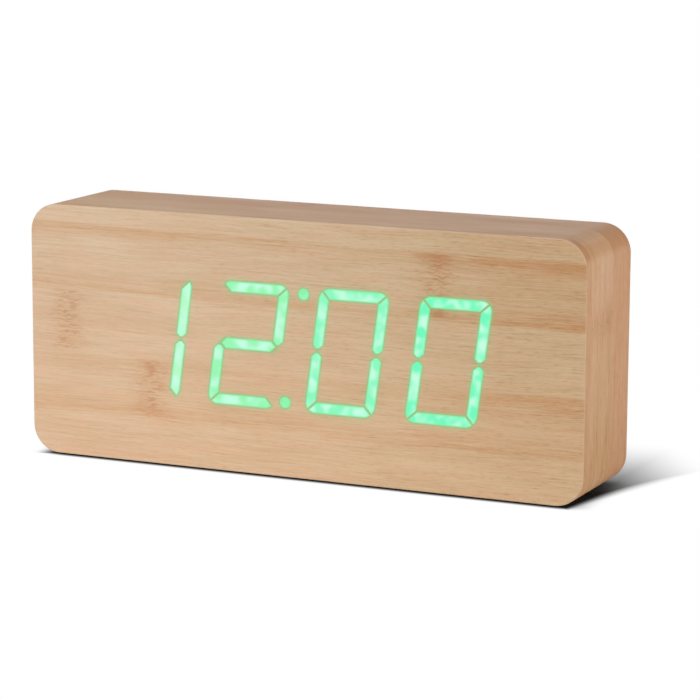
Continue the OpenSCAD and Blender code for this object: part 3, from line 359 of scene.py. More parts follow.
def lit_distance(finish, x, z):
    """Distance in millimetres from the lit windows, below 0 inside.

    Each numeral, a 1, a 2 or a nought, is folded onto a quarter or half of itself, where it is a few boxes
    cut by its mitres, tips and rounded corner. The distance is the least over the numerals and the dots.
    """
    up = z - digit_mid_z / MM
    lean_x = x - up * LEAN_SHARE
    half_w, half_h, bar = digit_w / 2 / MM, digit_h / 2 / MM, SEGMENT_W / MM
    corner, tip, flat = DIGIT_CORNER_R / MM, MIDDLE_GAP / 2 / MM, TIP_FLAT / 2 / MM
    tall, wide = half_h - bar / 2, half_w - bar / 2
    shoulder = tip + bar / 2 - flat
    size, least, most = finish.size, finish.least, finish.most
    height = size(up)
    slope = math.sqrt(0.5)

    def rounded(across):
        out_x = most(across - (half_w - corner), 0.0)
        out_z = most(height - (half_h - corner), 0.0)
        return (out_x * out_x + out_z * out_z) ** 0.5 - corner

    def upright(across):
        sides = most(size(across) - bar / 2, height - half_h)
        return most(sides, (tip - flat + size(across) - height) * slope)

    shapes = []
    for place in range(4):
        side = lean_x - (digit_mid_x / MM + (place - MIDDLE_PLACE) * digit_pitch / MM)
        if place == 0:
            mitre = (height - side - (half_h - half_w)) * slope
            numeral = most(upright(side - wide), mitre)
        elif place == 1:
            folded = side * finish.math("SIGN", up)
            across_top = most(size(height - tall) - bar / 2, size(folded) - half_w)
            across_top = most(across_top, (half_h - half_w - height - folded) * slope)
            reach = half_w - bar + shoulder
            across_middle = most(height - bar / 2, (size(side) + height - reach) * slope)
            numeral = least(least(across_top, upright(folded - wide)), across_middle)
        else:
            hole = most(size(side) - (half_w - bar), height - (half_h - bar))
            gaps = (tip - flat + size(size(side) - wide) - height) * slope
            numeral = most(hole * -1.0, gaps)
        shapes.append(most(numeral, rounded(size(side))))
    dots_low, dots_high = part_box("colon_dots")
    dot_r = DOT_R / MM
    for dot, inward in ((dots_low, dot_r), (dots_high, -dot_r)):
        away_x = x - (dot.x / MM + inward)
        away_z = z - (dot.z / MM + inward)
        shapes.append((away_x * away_x + away_z * away_z) ** 0.5 - dot_r)
    return reduce(least, shapes)


def front_bamboo():
    """Front of the slab: bamboo strips with joints and knuckles; painted shade to the right and head, a
    painted edge highlight and painted green glow by the windows.
    """
    finish = Finish("bamboo_front")
    x, y, z = finish.place
    height = z - wood_bottom
    tone, fibre, gleam = bamboo_grain(finish, x, height, FRONT_SEED)
    rightward = finish.rise(x + (height - 45.0) * 0.5, -75.0, 125.0)
    rosy = finish.rise(finish.noise(x * 0.05, height * 0.22, 17.0, 2.0), 0.45, 0.65)
    colour = finish.mix(finish.mix(WOOD_PALE, WOOD_ROSY, rosy * 0.7), WOOD_DARK, tone * 0.85)
    far_right = finish.rise(x, 25.0, 105.0)
    calm = 1 - finish.hill(x, 30.0, 22.0) * 0.5
    drifted = height + (finish.noise(x * 0.016, 3.0, 9.0, 1.0) - 0.5) * 2.0
    patchy = finish.noise(x * 0.022, height * 0.7, 13.0, 3.0, 0.65)
    orange = 0.0
    for joint, slope, way, left_reach, right_reach, left, right in STRIP_JOINTS:
        depth = (drifted - x * slope - joint) * way
        reach = left_reach + (right_reach - left_reach) * far_right
        band = finish.rise(depth, -0.5, 0.7) * finish.hill(depth, 0.6, reach)
        orange = band * (left + (right - left) * far_right) + orange
    orange = orange * calm * (0.25 + 1.3 * finish.rise(patchy, 0.3, 0.7))
    for foot, head, share in ORANGE_STRIPS:
        strip = finish.rise(drifted, foot, foot + 1.0) * (1 - finish.rise(drifted, head - 1.0, head))
        orange = strip * far_right * share + orange
    colour = finish.mix(colour, WOOD_ORANGE, orange)
    colour = finish.keep(colour, KEPT_IN_FIBRE, fibre * (0.5 + 0.5 * rightward))
    colour = finish.mix(colour, WOOD_FIBRE_AND_EDGE_HIGHLIGHT, gleam * (0.34 + 0.16 * rightward))
    rings = 0.0
    for k, (place, foot, head, strength, patch) in enumerate(KNUCKLES):
        seed = KNUCKLE_SEED + 5 * k
        rings = knuckle(finish, x, height, place, foot, head, patch, seed) * strength + rings
    colour = finish.mix(colour, WOOD_KNUCKLE, rings)
    # Painted shade: darker towards the right end and greyer towards the head
    colour = finish.keep(colour, PAINTED_SHADE_AT_RIGHT, rightward)
    colour = finish.keep(colour, PAINTED_SHADE_AT_HEAD, finish.rise(height, 10.0, 84.0))
    # Painted highlight: paler where the veneer turns back from its front face, along its eased edge
    edge = finish.rise(y, front_low.y / MM + 0.08, front_low.y / MM + 0.4)
    colour = finish.mix(colour, WOOD_FIBRE_AND_EDGE_HIGHLIGHT, edge * 0.45)
    # Painted glow: the lit windows' green painted on the wood, fading with the distance from them
    near = lit_distance(finish, x, z)
    glow = finish.math("EXPONENT", finish.most(near, 0.0) * -GLOW_FADE) * GLOW_SHARE
    colour = finish.mix(colour, GLOW_GREEN, glow)
    colour = finish.mix(colour, GLOW_RIM_GREEN, (1 - finish.rise(near, *GLOW_RIM_END)) * GLOW_RIM_SHARE)
    return bamboo_surface(finish, colour, tone, fibre, 0.5, 0.12, 0.3)


# Knots of the band, in millimetres walked round it from the right end of its foot
SIDE_KNOT_U = 65.5
TOP_KNOT_U = 211.0
# Depths from the front, in millimetres, over which the band's front strip ends and its back strip starts
FRONT_STRIP_END = (4.6, 5.4)
BACK_STRIP_START = (26.2, 27.0)
BAND_PALE = paint(218, 176, 140)
BAND_DARK = paint(206, 160, 122)
BAND_FRONT = paint(204, 152, 110)
BAND_BACK = paint(208, 154, 117)
BAND_GLEAM = paint(230, 196, 160)
# Pale colour of a painted highlight high on the sides
BAND_PAINTED_HIGHLIGHT = paint(224, 190, 160)
BAND_TOP_SHADE = paint(174, 139, 104)
# Shares of red, green and blue that the band keeps in streaks and knots, at the bend and low on its middle
# strip, and as painted shade at its foot and on its top
KEPT_IN_STREAK = (0.94, 0.91, 0.87, 1)
KEPT_IN_KNOT = (0.84, 0.7, 0.6, 1)
KEPT_AT_BEND = (0.9, 0.84, 0.74, 1)
KEPT_AT_BENT_STRIPS = (0.92, 0.87, 0.8, 1)
KEPT_BELOW = (0.95, 0.965, 0.9, 1)
PAINTED_SHADE_AT_FOOT = (0.91, 0.88, 0.81, 1)
PAINTED_SHADE_ON_TOP = (0.92, 0.86, 0.81, 1)
PAINTED_SHADE_ON_TOP_RIGHT = (0.84, 0.825, 0.79, 1)


def band_bamboo():
    """Band round the sides: grain along the band, three strips across its depth, painted shade that makes
    the top darker and greyer, most towards the right, and the foot darker.

    turned is the root of the depth below the head. Round a corner it grows almost evenly with the angle, to
    3.2 where the side stands upright, so that the browner bend follows the turn of the corner.
    """
    finish = Finish("bamboo_band")
    u, v = (way / MM for way in finish.uv("around"))
    x, y, z = finish.place
    tone, fibre, gleam = bamboo_grain(finish, u, v, BAND_SEED)
    sway = (finish.noise(u * 0.02, 4.0, 5.0, 1.0) - 0.5) * 2.0
    front_strip = 1 - finish.rise(v + sway, *FRONT_STRIP_END)
    back_strip = finish.rise(v + sway, *BACK_STRIP_START)
    middle = finish.rise(v + sway, 5.0, 6.0) * (1 - back_strip)
    colour = finish.mix(BAND_PALE, BAND_DARK, tone)
    colour = finish.mix(colour, BAND_FRONT, front_strip * 0.5)
    colour = finish.mix(colour, BAND_BACK, back_strip * 0.5)
    colour = finish.keep(colour, KEPT_IN_FIBRE, fibre * 0.8)
    colour = finish.mix(colour, BAND_GLEAM, gleam * 0.5)
    streaks = finish.rise(finish.noise(u * 0.012, v * 1.4, 71.0, 2.0, 0.6), 0.45, 0.62)
    colour = finish.keep(colour, KEPT_IN_STREAK, streaks * back_strip)
    colour = finish.keep(colour, KEPT_BELOW, (1 - finish.rise(z, 20.0, 70.0)) * middle)
    # Painted highlight: a paler band across the sides' middle, high up
    painted_highlight = finish.hill(v, 21.0, 4.5) * finish.rise(z, 62.0, 74.0) * 0.3
    colour = finish.mix(colour, BAND_PAINTED_HIGHLIGHT, painted_highlight)
    turned = finish.most(band_high.z / MM - z, 0.0) ** 0.5
    bend_start = finish.rise(turned + (front_strip + back_strip) * 0.9, 1.4, 1.9)
    bend = bend_start * (1 - finish.rise(turned, 2.3, 2.9))
    colour = finish.keep(colour, KEPT_AT_BEND, bend)
    colour = finish.keep(colour, KEPT_AT_BENT_STRIPS, bend * (front_strip + 0.25 * back_strip))
    # Painted shade: the top is painted darker and greyer
    top = 1 - finish.rise(turned, 0.0, 2.4)
    colour = finish.mix(colour, BAND_TOP_SHADE, top * 0.72)
    ripple = finish.noise(u * 0.7, v * 0.4, 61.0, 3.0, 0.65)
    wave = (finish.noise(v * 0.25, 8.0, 6.0, 2.0) - 0.5) * 9.0
    side_knot = finish.hill(u + wave, SIDE_KNOT_U, 5.0) * middle
    top_knot = finish.hill(u, TOP_KNOT_U, 3.0) * finish.hill(v, 36.0, 4.0)
    knots = (top_knot + side_knot) * (0.25 + 0.35 * finish.rise(ripple, 0.4, 0.65))
    colour = finish.keep(colour, KEPT_IN_KNOT, knots)
    # Painted shade: darker towards the foot, by the floor
    colour = finish.keep(colour, PAINTED_SHADE_AT_FOOT, 1 - finish.rise(z, 10.0, 40.0))
    # Painted shade: the top darker still towards the right and the back
    rightward = x + y * 2.0
    colour = finish.keep(colour, PAINTED_SHADE_ON_TOP, top * finish.rise(rightward, -100.0, -20.0))
    colour = finish.keep(colour, PAINTED_SHADE_ON_TOP_RIGHT, top * finish.rise(rightward, -110.0, 110.0))
    return bamboo_surface(finish, colour, tone, fibre, 0.6, 0.1, 0.12)


# Joint lines of the back's veneer: height, reach and strength
BACK_JOINTS = ((30.0, 2.2, 0.4), (64.0, 2.4, 0.5))


def back_bamboo():
    """Veneer of the back board, plainer than the front: grain and two joint lines."""
    finish = Finish("bamboo_back")
    x, _, z = finish.place
    tone, fibre, gleam = bamboo_grain(finish, x, z, BACK_SEED)
    lines = sum(finish.hill(z, joint, reach) * strength for joint, reach, strength in BACK_JOINTS)
    colour = finish.mix(finish.mix(WOOD_PALE, WOOD_DARK, tone), WOOD_ORANGE, lines)
    colour = finish.keep(colour, KEPT_IN_FIBRE, fibre * 0.4)
    colour = finish.mix(colour, WOOD_FIBRE_AND_EDGE_HIGHLIGHT, gleam * 0.3)
    return bamboo_surface(finish, colour, tone, fibre, 0.48, 0.12, 0.3)


# Glow greens of the four numerals from left to right and of the dots, then the films' glowing clouds and
# rim, and the unlit body
DIGIT_GREENS = (paint(176, 242, 192), paint(144, 240, 172), paint(128, 242, 184), paint(100, 243, 182))
DOT_GREEN = paint(118, 236, 152)
FILM_CLOUD = paint(190, 247, 220)
FILM_RIM = paint(128, 228, 160)
FILM_BODY = paint(44, 60, 50)
# Places of a segment's two chips, as shares of its length
CHIP_SHARES = (0.27, 0.73)


def lit_film(name, green, cloud_seed, clouded=1.0):
    """Veneer film that glows by its own emission, painted light in place of the LEDs behind it: whiter
    clouds, more over a segment's two chips, and a deeper rim.

    clouded is how strong the clouds are.
    """
    finish = Finish(name)
    share, inside = finish.uv("film")
    x, _, z = finish.place
    chips = sum(finish.hill(share, place, 0.16) for place in CHIP_SHARES)
    cloud = finish.noise(x * 0.21, z * 0.21, cloud_seed, 1.0, 0.4)
    speck = finish.noise(x * 0.8, z * 1.1, cloud_seed + 3.0, 2.0)
    bright = finish.rise(cloud * 1.8 - 0.38 + chips * 0.15 + speck * 0.06, 0.34, 0.98) * clouded
    colour = finish.mix(green, FILM_CLOUD, bright)
    colour = finish.mix(FILM_RIM, colour, finish.rise(inside, 0.0, 0.42))
    return finish.surface(
        base_color=FILM_BODY, emission_color=colour, emission_strength=1.0, roughness=0.5,
        specular_ior_level=0.2,
    )


def fibreboard():
    """Pressed wood fibre: fine brown specks with a few pale ones."""
    finish = Finish("fibreboard")
    flakes = finish.lumps(1.4, 3.0, 0.7)
    colour = finish.mix(paint(150, 116, 82), paint(196, 162, 124), finish.rise(flakes, 0.35, 0.68))
    colour = finish.mix(colour, paint(166, 130, 95), finish.lumps(0.08) * 0.4)
    return finish.surface(base_color=colour, roughness=0.9, normal=finish.bump(flakes, 0.12 * MM))


def moulded_plastic(name, dark, pale, texture_depth, roughness):
    """Moulded plastic with a spark-eroded grain: fine noise raises it and breaks its gloss."""
    finish = Finish(name)
    grain = finish.lumps(3.2, 2.0, 0.6)
    tone = finish.rise(grain * 0.6 + finish.lumps(0.06) * 0.4, 0.35, 0.7)
    return finish.grained(dark, pale, tone, grain, roughness, 0.16, texture_depth)


# Radians per millimetre up a circuit board, for one track every 1.27 mm
TRACK_WAVE = 4.95


def circuit_board(name, centre_x):
    """Green lacquer over copper: paler tracks one pitch apart, broken up by a slow noise."""
    finish = Finish(name)
    x, _, z = finish.place
    route = finish.rise(finish.noise((x - centre_x) * 0.07, z * 0.5, 3.0, 1.0), 0.48, 0.5)
    track = finish.rise(finish.math("SINE", z * TRACK_WAVE), 0.1, 0.4) * route
    colour = finish.mix(paint(22, 84, 48), paint(46, 122, 70), track)
    return finish.surface(
        base_color=colour, roughness=0.32 + finish.lumps(0.9) * 0.12, normal=finish.bump(track, 0.03 * MM),
        coat_weight=0.3,
    )


def bright_metal(name, dark, pale, roughness, stretch):
    """Plated metal: faint brushed streaks along X and slow clouding."""
    finish = Finish(name)
    x, y, z = finish.place
    brushed = finish.noise(x * 2.0 / stretch, y * 4.0, z * 4.0, 3.0, 0.6)
    tone = brushed * 0.7 + finish.lumps(0.3) * 0.3
    return finish.grained(dark, pale, tone, brushed, roughness, 0.14, 0.01 * MM, metallic=1.0)


def pad_rubber():
    """Dark soft rubber with a dusty bloom."""
    finish = Finish("pad_rubber")
    dust = finish.lumps(0.9, 3.0, 0.7)
    tone = finish.rise(dust, 0.4, 0.75)
    return finish.grained(paint(30, 29, 29), paint(58, 56, 54), tone, dust, 0.78, 0.15, 0.05 * MM)


# Battery cell, in millimetres: steel that the sleeve leaves at the terminal, at the flat end and inside a
# radius, and how far from the terminal's tip the silver band and the bright ring lie
SLEEVE_FROM_TERMINAL = 1.5
SLEEVE_FROM_END = 0.5
SLEEVE_INNER_R = 5.0
BAND_REACH = 12.0
RING_AT = 12.6


def cell_sleeve(node, terminal):
    """Battery cell: steel at its two ends, a green sleeve and a silver band at the terminal's end.

    terminal is 1 where the terminal points along +X and -1 where it points along -X.
    """
    finish = Finish(node + "_sleeve")
    x, y, z = finish.place
    low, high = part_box(node)
    inward = (high.x / MM - x) if terminal > 0 else (x - low.x / MM)
    radial_y = y - (low.y + high.y) / 2 / MM
    radial_z = z - (low.z + high.z) / 2 / MM
    radius = (radial_y * radial_y + radial_z * radial_z) ** 0.5
    stop = (high.x - low.x) / MM - SLEEVE_FROM_END
    sleeve = finish.rise(inward, SLEEVE_FROM_TERMINAL, SLEEVE_FROM_TERMINAL + 0.1)
    sleeve = sleeve * (1 - finish.rise(inward, stop, stop + 0.1))
    sleeve = sleeve * finish.rise(radius, SLEEVE_INNER_R, SLEEVE_INNER_R + 0.12)
    band = 1 - finish.rise(inward, BAND_REACH, BAND_REACH + 0.2)
    wear = finish.lumps(0.7, 3.0, 0.65)
    colour = finish.mix(paint(36, 78, 62), paint(48, 96, 76), wear)
    colour = finish.mix(colour, paint(196, 200, 198), band)
    colour = finish.mix(colour, paint(222, 224, 222), finish.hill(inward, RING_AT, 0.35))
    steel = finish.mix(paint(176, 178, 180), paint(206, 207, 208), wear)
    return finish.surface(
        base_color=finish.mix(steel, colour, sleeve), metallic=1 - sleeve * 0.75,
        roughness=0.28 + wear * 0.12, normal=finish.bump(wear, 0.01 * MM),
    )


# Width of one conductor of the ribbon, in millimetres
RIB_W = 1.25


def ribbon_jacket():
    """Grey flat cable: one round rib for each conductor, painted darker in the grooves as shade, and a red
    first one.
    """
    finish = Finish("ribbon_jacket")
    z = finish.place[2]
    low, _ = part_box("ribbon_cable")
    rib = finish.size(finish.math("SINE", (z - low.z / MM) * math.pi / RIB_W))
    first = 1 - finish.rise(z, low.z / MM + RIB_W - 0.05, low.z / MM + RIB_W + 0.05)
    scuff = finish.lumps(0.8)
    # Painted shade: darker in the grooves between the ribs, paler on their crests
    colour = finish.mix(paint(150, 152, 156), paint(196, 198, 202), rib * 0.7 + scuff * 0.3)
    colour = finish.mix(colour, paint(186, 40, 34), first)
    return finish.surface(
        base_color=colour, roughness=0.5 + scuff * 0.1, normal=finish.bump(rib, 0.2 * MM),
    )


def chip_plastic(name, dark, pale):
    """Moulded body of a component, with a fine matt grain."""
    finish = Finish(name)
    grain = finish.lumps(4.0, 2.0, 0.6)
    return finish.grained(dark, pale, grain, grain, 0.55, 0.2, 0.02 * MM)


def capacitor_sleeve():
    """Shrunk blue sleeve with a pale stripe down one side and bare metal on the end."""
    finish = Finish("capacitor_sleeve")
    _, y, z = finish.place
    _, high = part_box("capacitors")
    end = finish.rise(y, high.y / MM - 0.12, high.y / MM - 0.06)
    stripe = finish.rise(z, high.z / MM - 1.2, high.z / MM - 1.1)
    scuff = finish.lumps(1.2)
    colour = finish.mix(paint(26, 34, 78), paint(40, 50, 104), scuff)
    colour = finish.mix(colour, paint(168, 176, 204), stripe)
    colour = finish.mix(colour, paint(190, 192, 194), end)
    return finish.surface(base_color=colour, roughness=0.3 + scuff * 0.12, metallic=end * 0.9)


def led_phosphor():
    """Small white body with a yellow-green lens window over its die."""
    finish = Finish("led_phosphor")
    cells = finish.lumps(2.0)
    colour = finish.mix(paint(236, 236, 226), paint(214, 226, 160), finish.rise(cells, 0.5, 0.62))
    return finish.surface(base_color=colour, roughness=0.35 + cells * 0.15)


def polish(name, dark, pale, roughness):
    """Smooth jacket or cap: slight clouding of tone and gloss."""
    finish = Finish(name)
    fine = finish.lumps(5.0)
    tone = finish.lumps(0.5, 3.0, 0.6) * 0.6 + fine * 0.4
    return finish.grained(dark, pale, tone, fine, roughness, 0.1, 0.008 * MM)


def dress(material, *names):
    """Gives the named CAD nodes this material."""
    for name in names:
        mesh = nodes[name].data
        mesh.materials.clear()
        mesh.materials.append(material)


# Least angle between two faces, in radians, at which their edge looks sharp
SHARP_ANGLE = 0.6


def add_piece(name, points, faces, material, body, replaced, uv_name=None, uv=None):
    """Mesh object at the origin, smooth but for its sharp edges; uv has a row for each corner of a face."""
    mesh = bpy.data.meshes.new(name)
    mesh.from_pydata(points.tolist(), [], faces)
    if uv_name:
        layer = mesh.uv_layers.new(name=uv_name)
        layer.data.foreach_set("uv", np.asarray(uv, np.float32).ravel())
    mesh.validate()
    mesh.shade_smooth()
    mesh.set_sharp_from_angle(angle=SHARP_ANGLE)
    mesh.materials.append(material)
    piece = add_object(name, mesh)
    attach(piece, body)
    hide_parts(*replaced)


def grid_faces(rows, columns, closed_rows, closed_columns):
    """Quads of a grid of rows by columns points; a closed way joins its last row or column to its first."""
    row = np.arange(rows if closed_rows else rows - 1)
    column = np.arange(columns if closed_columns else columns - 1)
    r, c = np.meshgrid(row, column, indexing="ij")
    after_r, after_c = (r + 1) % rows, (c + 1) % columns
    return np.stack(
        [r * columns + c, r * columns + after_c, after_r * columns + after_c, after_r * columns + c], -1
    ).reshape(-1, 4)


# Steps of the band's mesh round a corner, along a side, over the eased edge and across the depth
CORNER_STEPS, SIDE_STEPS, EASE_STEPS, DEPTH_STEPS = 24, 12, 6, 8


def slab_outline():
    """Points and outward normals of the rounded rectangle, and the length walked to each.

    The walk starts at the right end of the foot and goes anticlockwise as seen from the front: up the right
    side, back along the top, down the left side and along the foot. A corner's point is its middle plus the
    corner's radius at the angle turned, and a side's point is a share of the way between two corners.
    """
    flat_half = (case_w / 2 - CORNER_R, case_h / 2 - CORNER_R)
    mids = np.array([(1, -1), (1, 1), (-1, 1), (-1, -1)]) * flat_half
    points, normals = [], []
    for k in range(4):
        turn = np.radians(-90 + 90 * k + np.linspace(0, 90, CORNER_STEPS + 1))
        ring = np.stack([np.cos(turn), np.sin(turn)], 1)
        points.append(mids[k] + CORNER_R * ring)
        normals.append(ring)
        start, end = points[-1][-1], mids[(k + 1) % 4] + CORNER_R * ring[-1]
        share = np.linspace(0, 1, SIDE_STEPS + 1)[1:-1, None]
        points.append(start + (end - start) * share)
        normals.append(np.repeat(ring[-1:], SIDE_STEPS - 1, 0))
    points, normals = np.concatenate(points), np.concatenate(normals)
    steps = np.linalg.norm(np.diff(points, axis=0, append=points[:1]), axis=1)
    walked = np.concatenate([[0], np.cumsum(steps)])
    return points, normals, walked


def edge_band():
    """Band of veneer: a profile of inset and depth carried round the slab's outline, closed both ways.

    A point is the outline's, moved inwards along its normal by the profile's inset, at the profile's depth.
    """
    outline, normals, walked = slab_outline()
    front, back = band_low.y, band_high.y
    turn = np.radians(np.linspace(0, 90, EASE_STEPS + 1))
    eased = np.stack([EDGE_EASE * (1 - np.cos(turn)), back - EDGE_EASE + EDGE_EASE * np.sin(turn)], 1)
    depths = np.linspace(front, back - EDGE_EASE, DEPTH_STEPS + 1)[:-1]
    outer = np.stack([np.zeros(len(depths)), depths], 1)
    inner = np.array([
        [RIM_W, back], [RIM_W, back - VENEER_T], [VENEER_T, back - VENEER_T], [VENEER_T, front],
    ])
    profile = np.concatenate([outer, eased, inner])
    rows, columns = len(profile), len(outline)
    place = outline[None] - normals[None] * profile[:, 0, None, None]
    points = np.stack([
        place[..., 0], np.repeat(profile[:, 1, None], columns, 1), place[..., 1] + case_mid_z,
    ], -1).reshape(-1, 3)
    faces = grid_faces(rows, columns, True, True)
    row, column = faces // columns, faces % columns
    wraps = (column.max(1) - column.min(1) > 1)[:, None] & (column == 0)
    around = np.where(wraps, walked[-1], walked[column])
    deep = profile[row, 1] - front_low.y + profile[row, 0]
    uv = np.stack([around, deep], -1)
    add_piece(
        "edge_band", points, faces.tolist(), band_bamboo(), "clock", ["edge_veneer"],
        "around", uv,
    )


def arc(mid, radius, start, end, steps=8):
    """Points on a circle about mid from one angle to another, in degrees."""
    turn = np.radians(np.linspace(start, end, steps + 1))
    return np.array(mid) + radius * np.stack([np.cos(turn), np.sin(turn)], 1)


def segment_shapes():
    """Outline and middle line of a digit's seven segments about its centre, before the lean.

    Neighbours meet in a mitre at 45 degrees with a gap between, and the side segments end in blunt tips.
    """
    half_w, half_h, bar = digit_w / 2, digit_h / 2, SEGMENT_W
    mitre = SEGMENT_GAP / math.sqrt(2)
    turn = math.degrees(math.asin(SEGMENT_GAP / 2 / DIGIT_CORNER_R))
    tip = MIDDLE_GAP / 2
    shoulder = tip + (bar - TIP_FLAT) / 2
    corner = (half_w - DIGIT_CORNER_R, half_h - DIGIT_CORNER_R)
    top = np.concatenate([
        arc(corner, DIGIT_CORNER_R, 45 + turn, 90),
        arc((-corner[0], corner[1]), DIGIT_CORNER_R, 90, 135 - turn),
        [(-half_w + bar + mitre, half_h - bar), (half_w - bar - mitre, half_h - bar)],
    ])
    upright = np.concatenate([
        arc(corner, DIGIT_CORNER_R, 0, 45 - turn),
        [
            (half_w - bar, half_h - bar - mitre), (half_w - bar, shoulder),
            (half_w - (bar + TIP_FLAT) / 2, tip), (half_w - (bar - TIP_FLAT) / 2, tip), (half_w, shoulder),
        ],
    ])
    reach = half_w - bar + shoulder - 2 * mitre
    middle = np.array([
        (reach, 0), (reach - bar / 2, bar / 2), (bar / 2 - reach, bar / 2),
        (-reach, 0), (bar / 2 - reach, -bar / 2), (reach - bar / 2, -bar / 2),
    ])
    top_line = np.array([(bar - half_w, half_h - bar / 2), (half_w - bar, half_h - bar / 2)])
    side_line = np.array([(half_w - bar / 2, half_h - bar), (half_w - bar / 2, shoulder)])
    middle_line = np.array([(bar / 2 - reach, 0), (reach - bar / 2, 0)])
    flips = [
        (top, top_line, 1, 1), (upright, side_line, 1, 1), (upright, side_line, 1, -1),
        (top, top_line, 1, -1), (upright, side_line, -1, -1), (upright, side_line, -1, 1),
        (middle, middle_line, 1, 1),
    ]
    shapes = []
    for outline, line, flip_x, flip_z in flips:
        flip = np.array((flip_x, flip_z))
        turned = outline * flip
        shapes.append((turned if flip_x * flip_z > 0 else turned[::-1], line * flip))
    return shapes


# Shares of the way in from a segment's outline at which its loops lie
FILM_SHARES = (0.0, 0.18, 0.4, 0.7, 1.0)


def film_plate(outline, line):
    """Closed plate over an outline, anticlockwise from the front, as loops drawn in to its middle line.

    Each loop is the outline moved by a share of the way to the nearer end of the line; the last loop closes
    on the line. The first half of the loops lies at the back of the film and the second half at its front.
    The UV is the share walked along the line and the share of the way in.
    """
    nearer = np.linalg.norm(outline[:, None] - line[None], axis=2).argmin(1)
    ends = line[nearer]
    way = line[1] - line[0]
    length = float(way @ way)
    loops, depths, uvs = [], [], []
    for y, shares in ((front_high.y, FILM_SHARES[::-1]), (front_low.y, FILM_SHARES)):
        for share in shares:
            loop = outline + (ends - outline) * share
            loops.append(loop)
            depths.append(np.full(len(loop), y))
            along = (loop - line[0]) @ way / length if length > 0 else np.full(len(loop), 0.5)
            uvs.append(np.stack([along, np.full(len(loop), share)], 1))
    flat, depth, uv = np.concatenate(loops), np.concatenate(depths), np.concatenate(uvs)
    points = np.stack([flat[:, 0], depth, flat[:, 1]], 1)
    faces = grid_faces(len(loops), len(outline), False, True)
    return points, faces, uv


def weld(points, faces, uv):
    """Joins points that lie together, drops edges that shrank to nothing, and gives each corner its UV."""
    key = np.round(points / (0.001 * MM)).astype(np.int64)
    _, index, place = np.unique(key, axis=0, return_index=True, return_inverse=True)
    place = place.reshape(-1)
    clean, corners = [], []
    for face in faces.tolist():
        ring, rows = [], []
        for corner in face:
            at = int(place[corner])
            if at not in ring:
                ring.append(at)
                rows.append(uv[corner])
        if len(ring) > 2:
            clean.append(ring)
            corners.extend(rows)
    return points[index], clean, np.array(corners)


def film_piece(name, plates, material):
    """One lit node from its plates, each already in place."""
    points, faces, uvs, start = [], [], [], 0
    for plate_points, plate_faces, plate_uv in plates:
        points.append(plate_points)
        faces.append(plate_faces + start)
        uvs.append(plate_uv)
        start += len(plate_points)
    welded, rings, corner_uv = weld(np.concatenate(points), np.concatenate(faces), np.concatenate(uvs))
    add_piece(name + "_film", welded, rings, material, "clock", [name], "film", corner_uv)


# Steps round a colon dot
DOT_STEPS = 32


def lit_digits():
    """The four numerals and the two colon dots as plates in the veneer."""
    shapes = segment_shapes()
    for name, (place, lit) in NUMERALS.items():
        shift = np.array([digit_mid_x + (place - MIDDLE_PLACE) * digit_pitch, 0, digit_mid_z])
        plates = []
        for k in lit:
            points, faces, uv = film_plate(*shapes[k])
            points[:, 0] += LEAN_SHARE * points[:, 2]
            plates.append((points + shift, faces, uv))
        film_piece(name, plates, lit_film("light_" + name, DIGIT_GREENS[place], FILM_SEED + 7 * place))
    low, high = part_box("colon_dots")
    plates = []
    for centre in ((low.x + DOT_R, low.z + DOT_R), (high.x - DOT_R, high.z - DOT_R)):
        plates.append(film_plate(arc(centre, DOT_R, 0, 360, DOT_STEPS)[:-1], np.array([centre, centre])))
    film_piece("colon_dots", plates, lit_film("light_colon", DOT_GREEN, DOT_SEED, 0.3))


def tube_grid(path, radius, sides):
    """Round tube along a path: at each point a ring of radius in the plane square to the way there.

    The ring's first arm is carried along the path, made square to the way at each step, so it never twists.
    """
    way = np.gradient(path, axis=0)
    way /= np.linalg.norm(way, axis=1)[:, None]
    arm = np.cross(way[0], (0.3, 0.5, 0.8))
    arms = []
    for direction in way:
        arm = arm - direction * (arm @ direction)
        arm = arm / np.linalg.norm(arm)
        arms.append(arm)
    arms = np.array(arms)
    turn = np.linspace(0, 2 * np.pi, sides, endpoint=False)[None, :, None]
    rings = arms[:, None] * np.cos(turn) + np.cross(way, arms)[:, None] * np.sin(turn)
    points = (path[:, None] + radius * rings).reshape(-1, 3)
    last = (len(path) - 1) * sides
    caps = [list(range(sides))[::-1], list(range(last, last + sides))]
    return points, grid_faces(len(path), sides, False, True).tolist() + caps


def tubes_piece(name, paths, radius, sides, material, replaced):
    """One piece of several tubes, each closed by a flat cap at its two ends."""
    points, faces = [], []
    for path in paths:
        ring_points, ring_faces = tube_grid(path, radius, sides)
        start = sum(len(p) for p in points)
        points.append(ring_points)
        faces += [[start + k for k in face] for face in ring_faces]
    add_piece(name, np.concatenate(points), faces, material, "clock", replaced)


# Contact springs: radius of the wire, of the coil at its base and at its tip, turns, and steps of the mesh
SPRING_WIRE_R = 0.3 * MM
SPRING_BASE_R = 3.6 * MM
SPRING_TIP_R = 2.2 * MM
SPRING_TURNS = 4
SPRING_STEPS, SPRING_SIDES = 192, 10


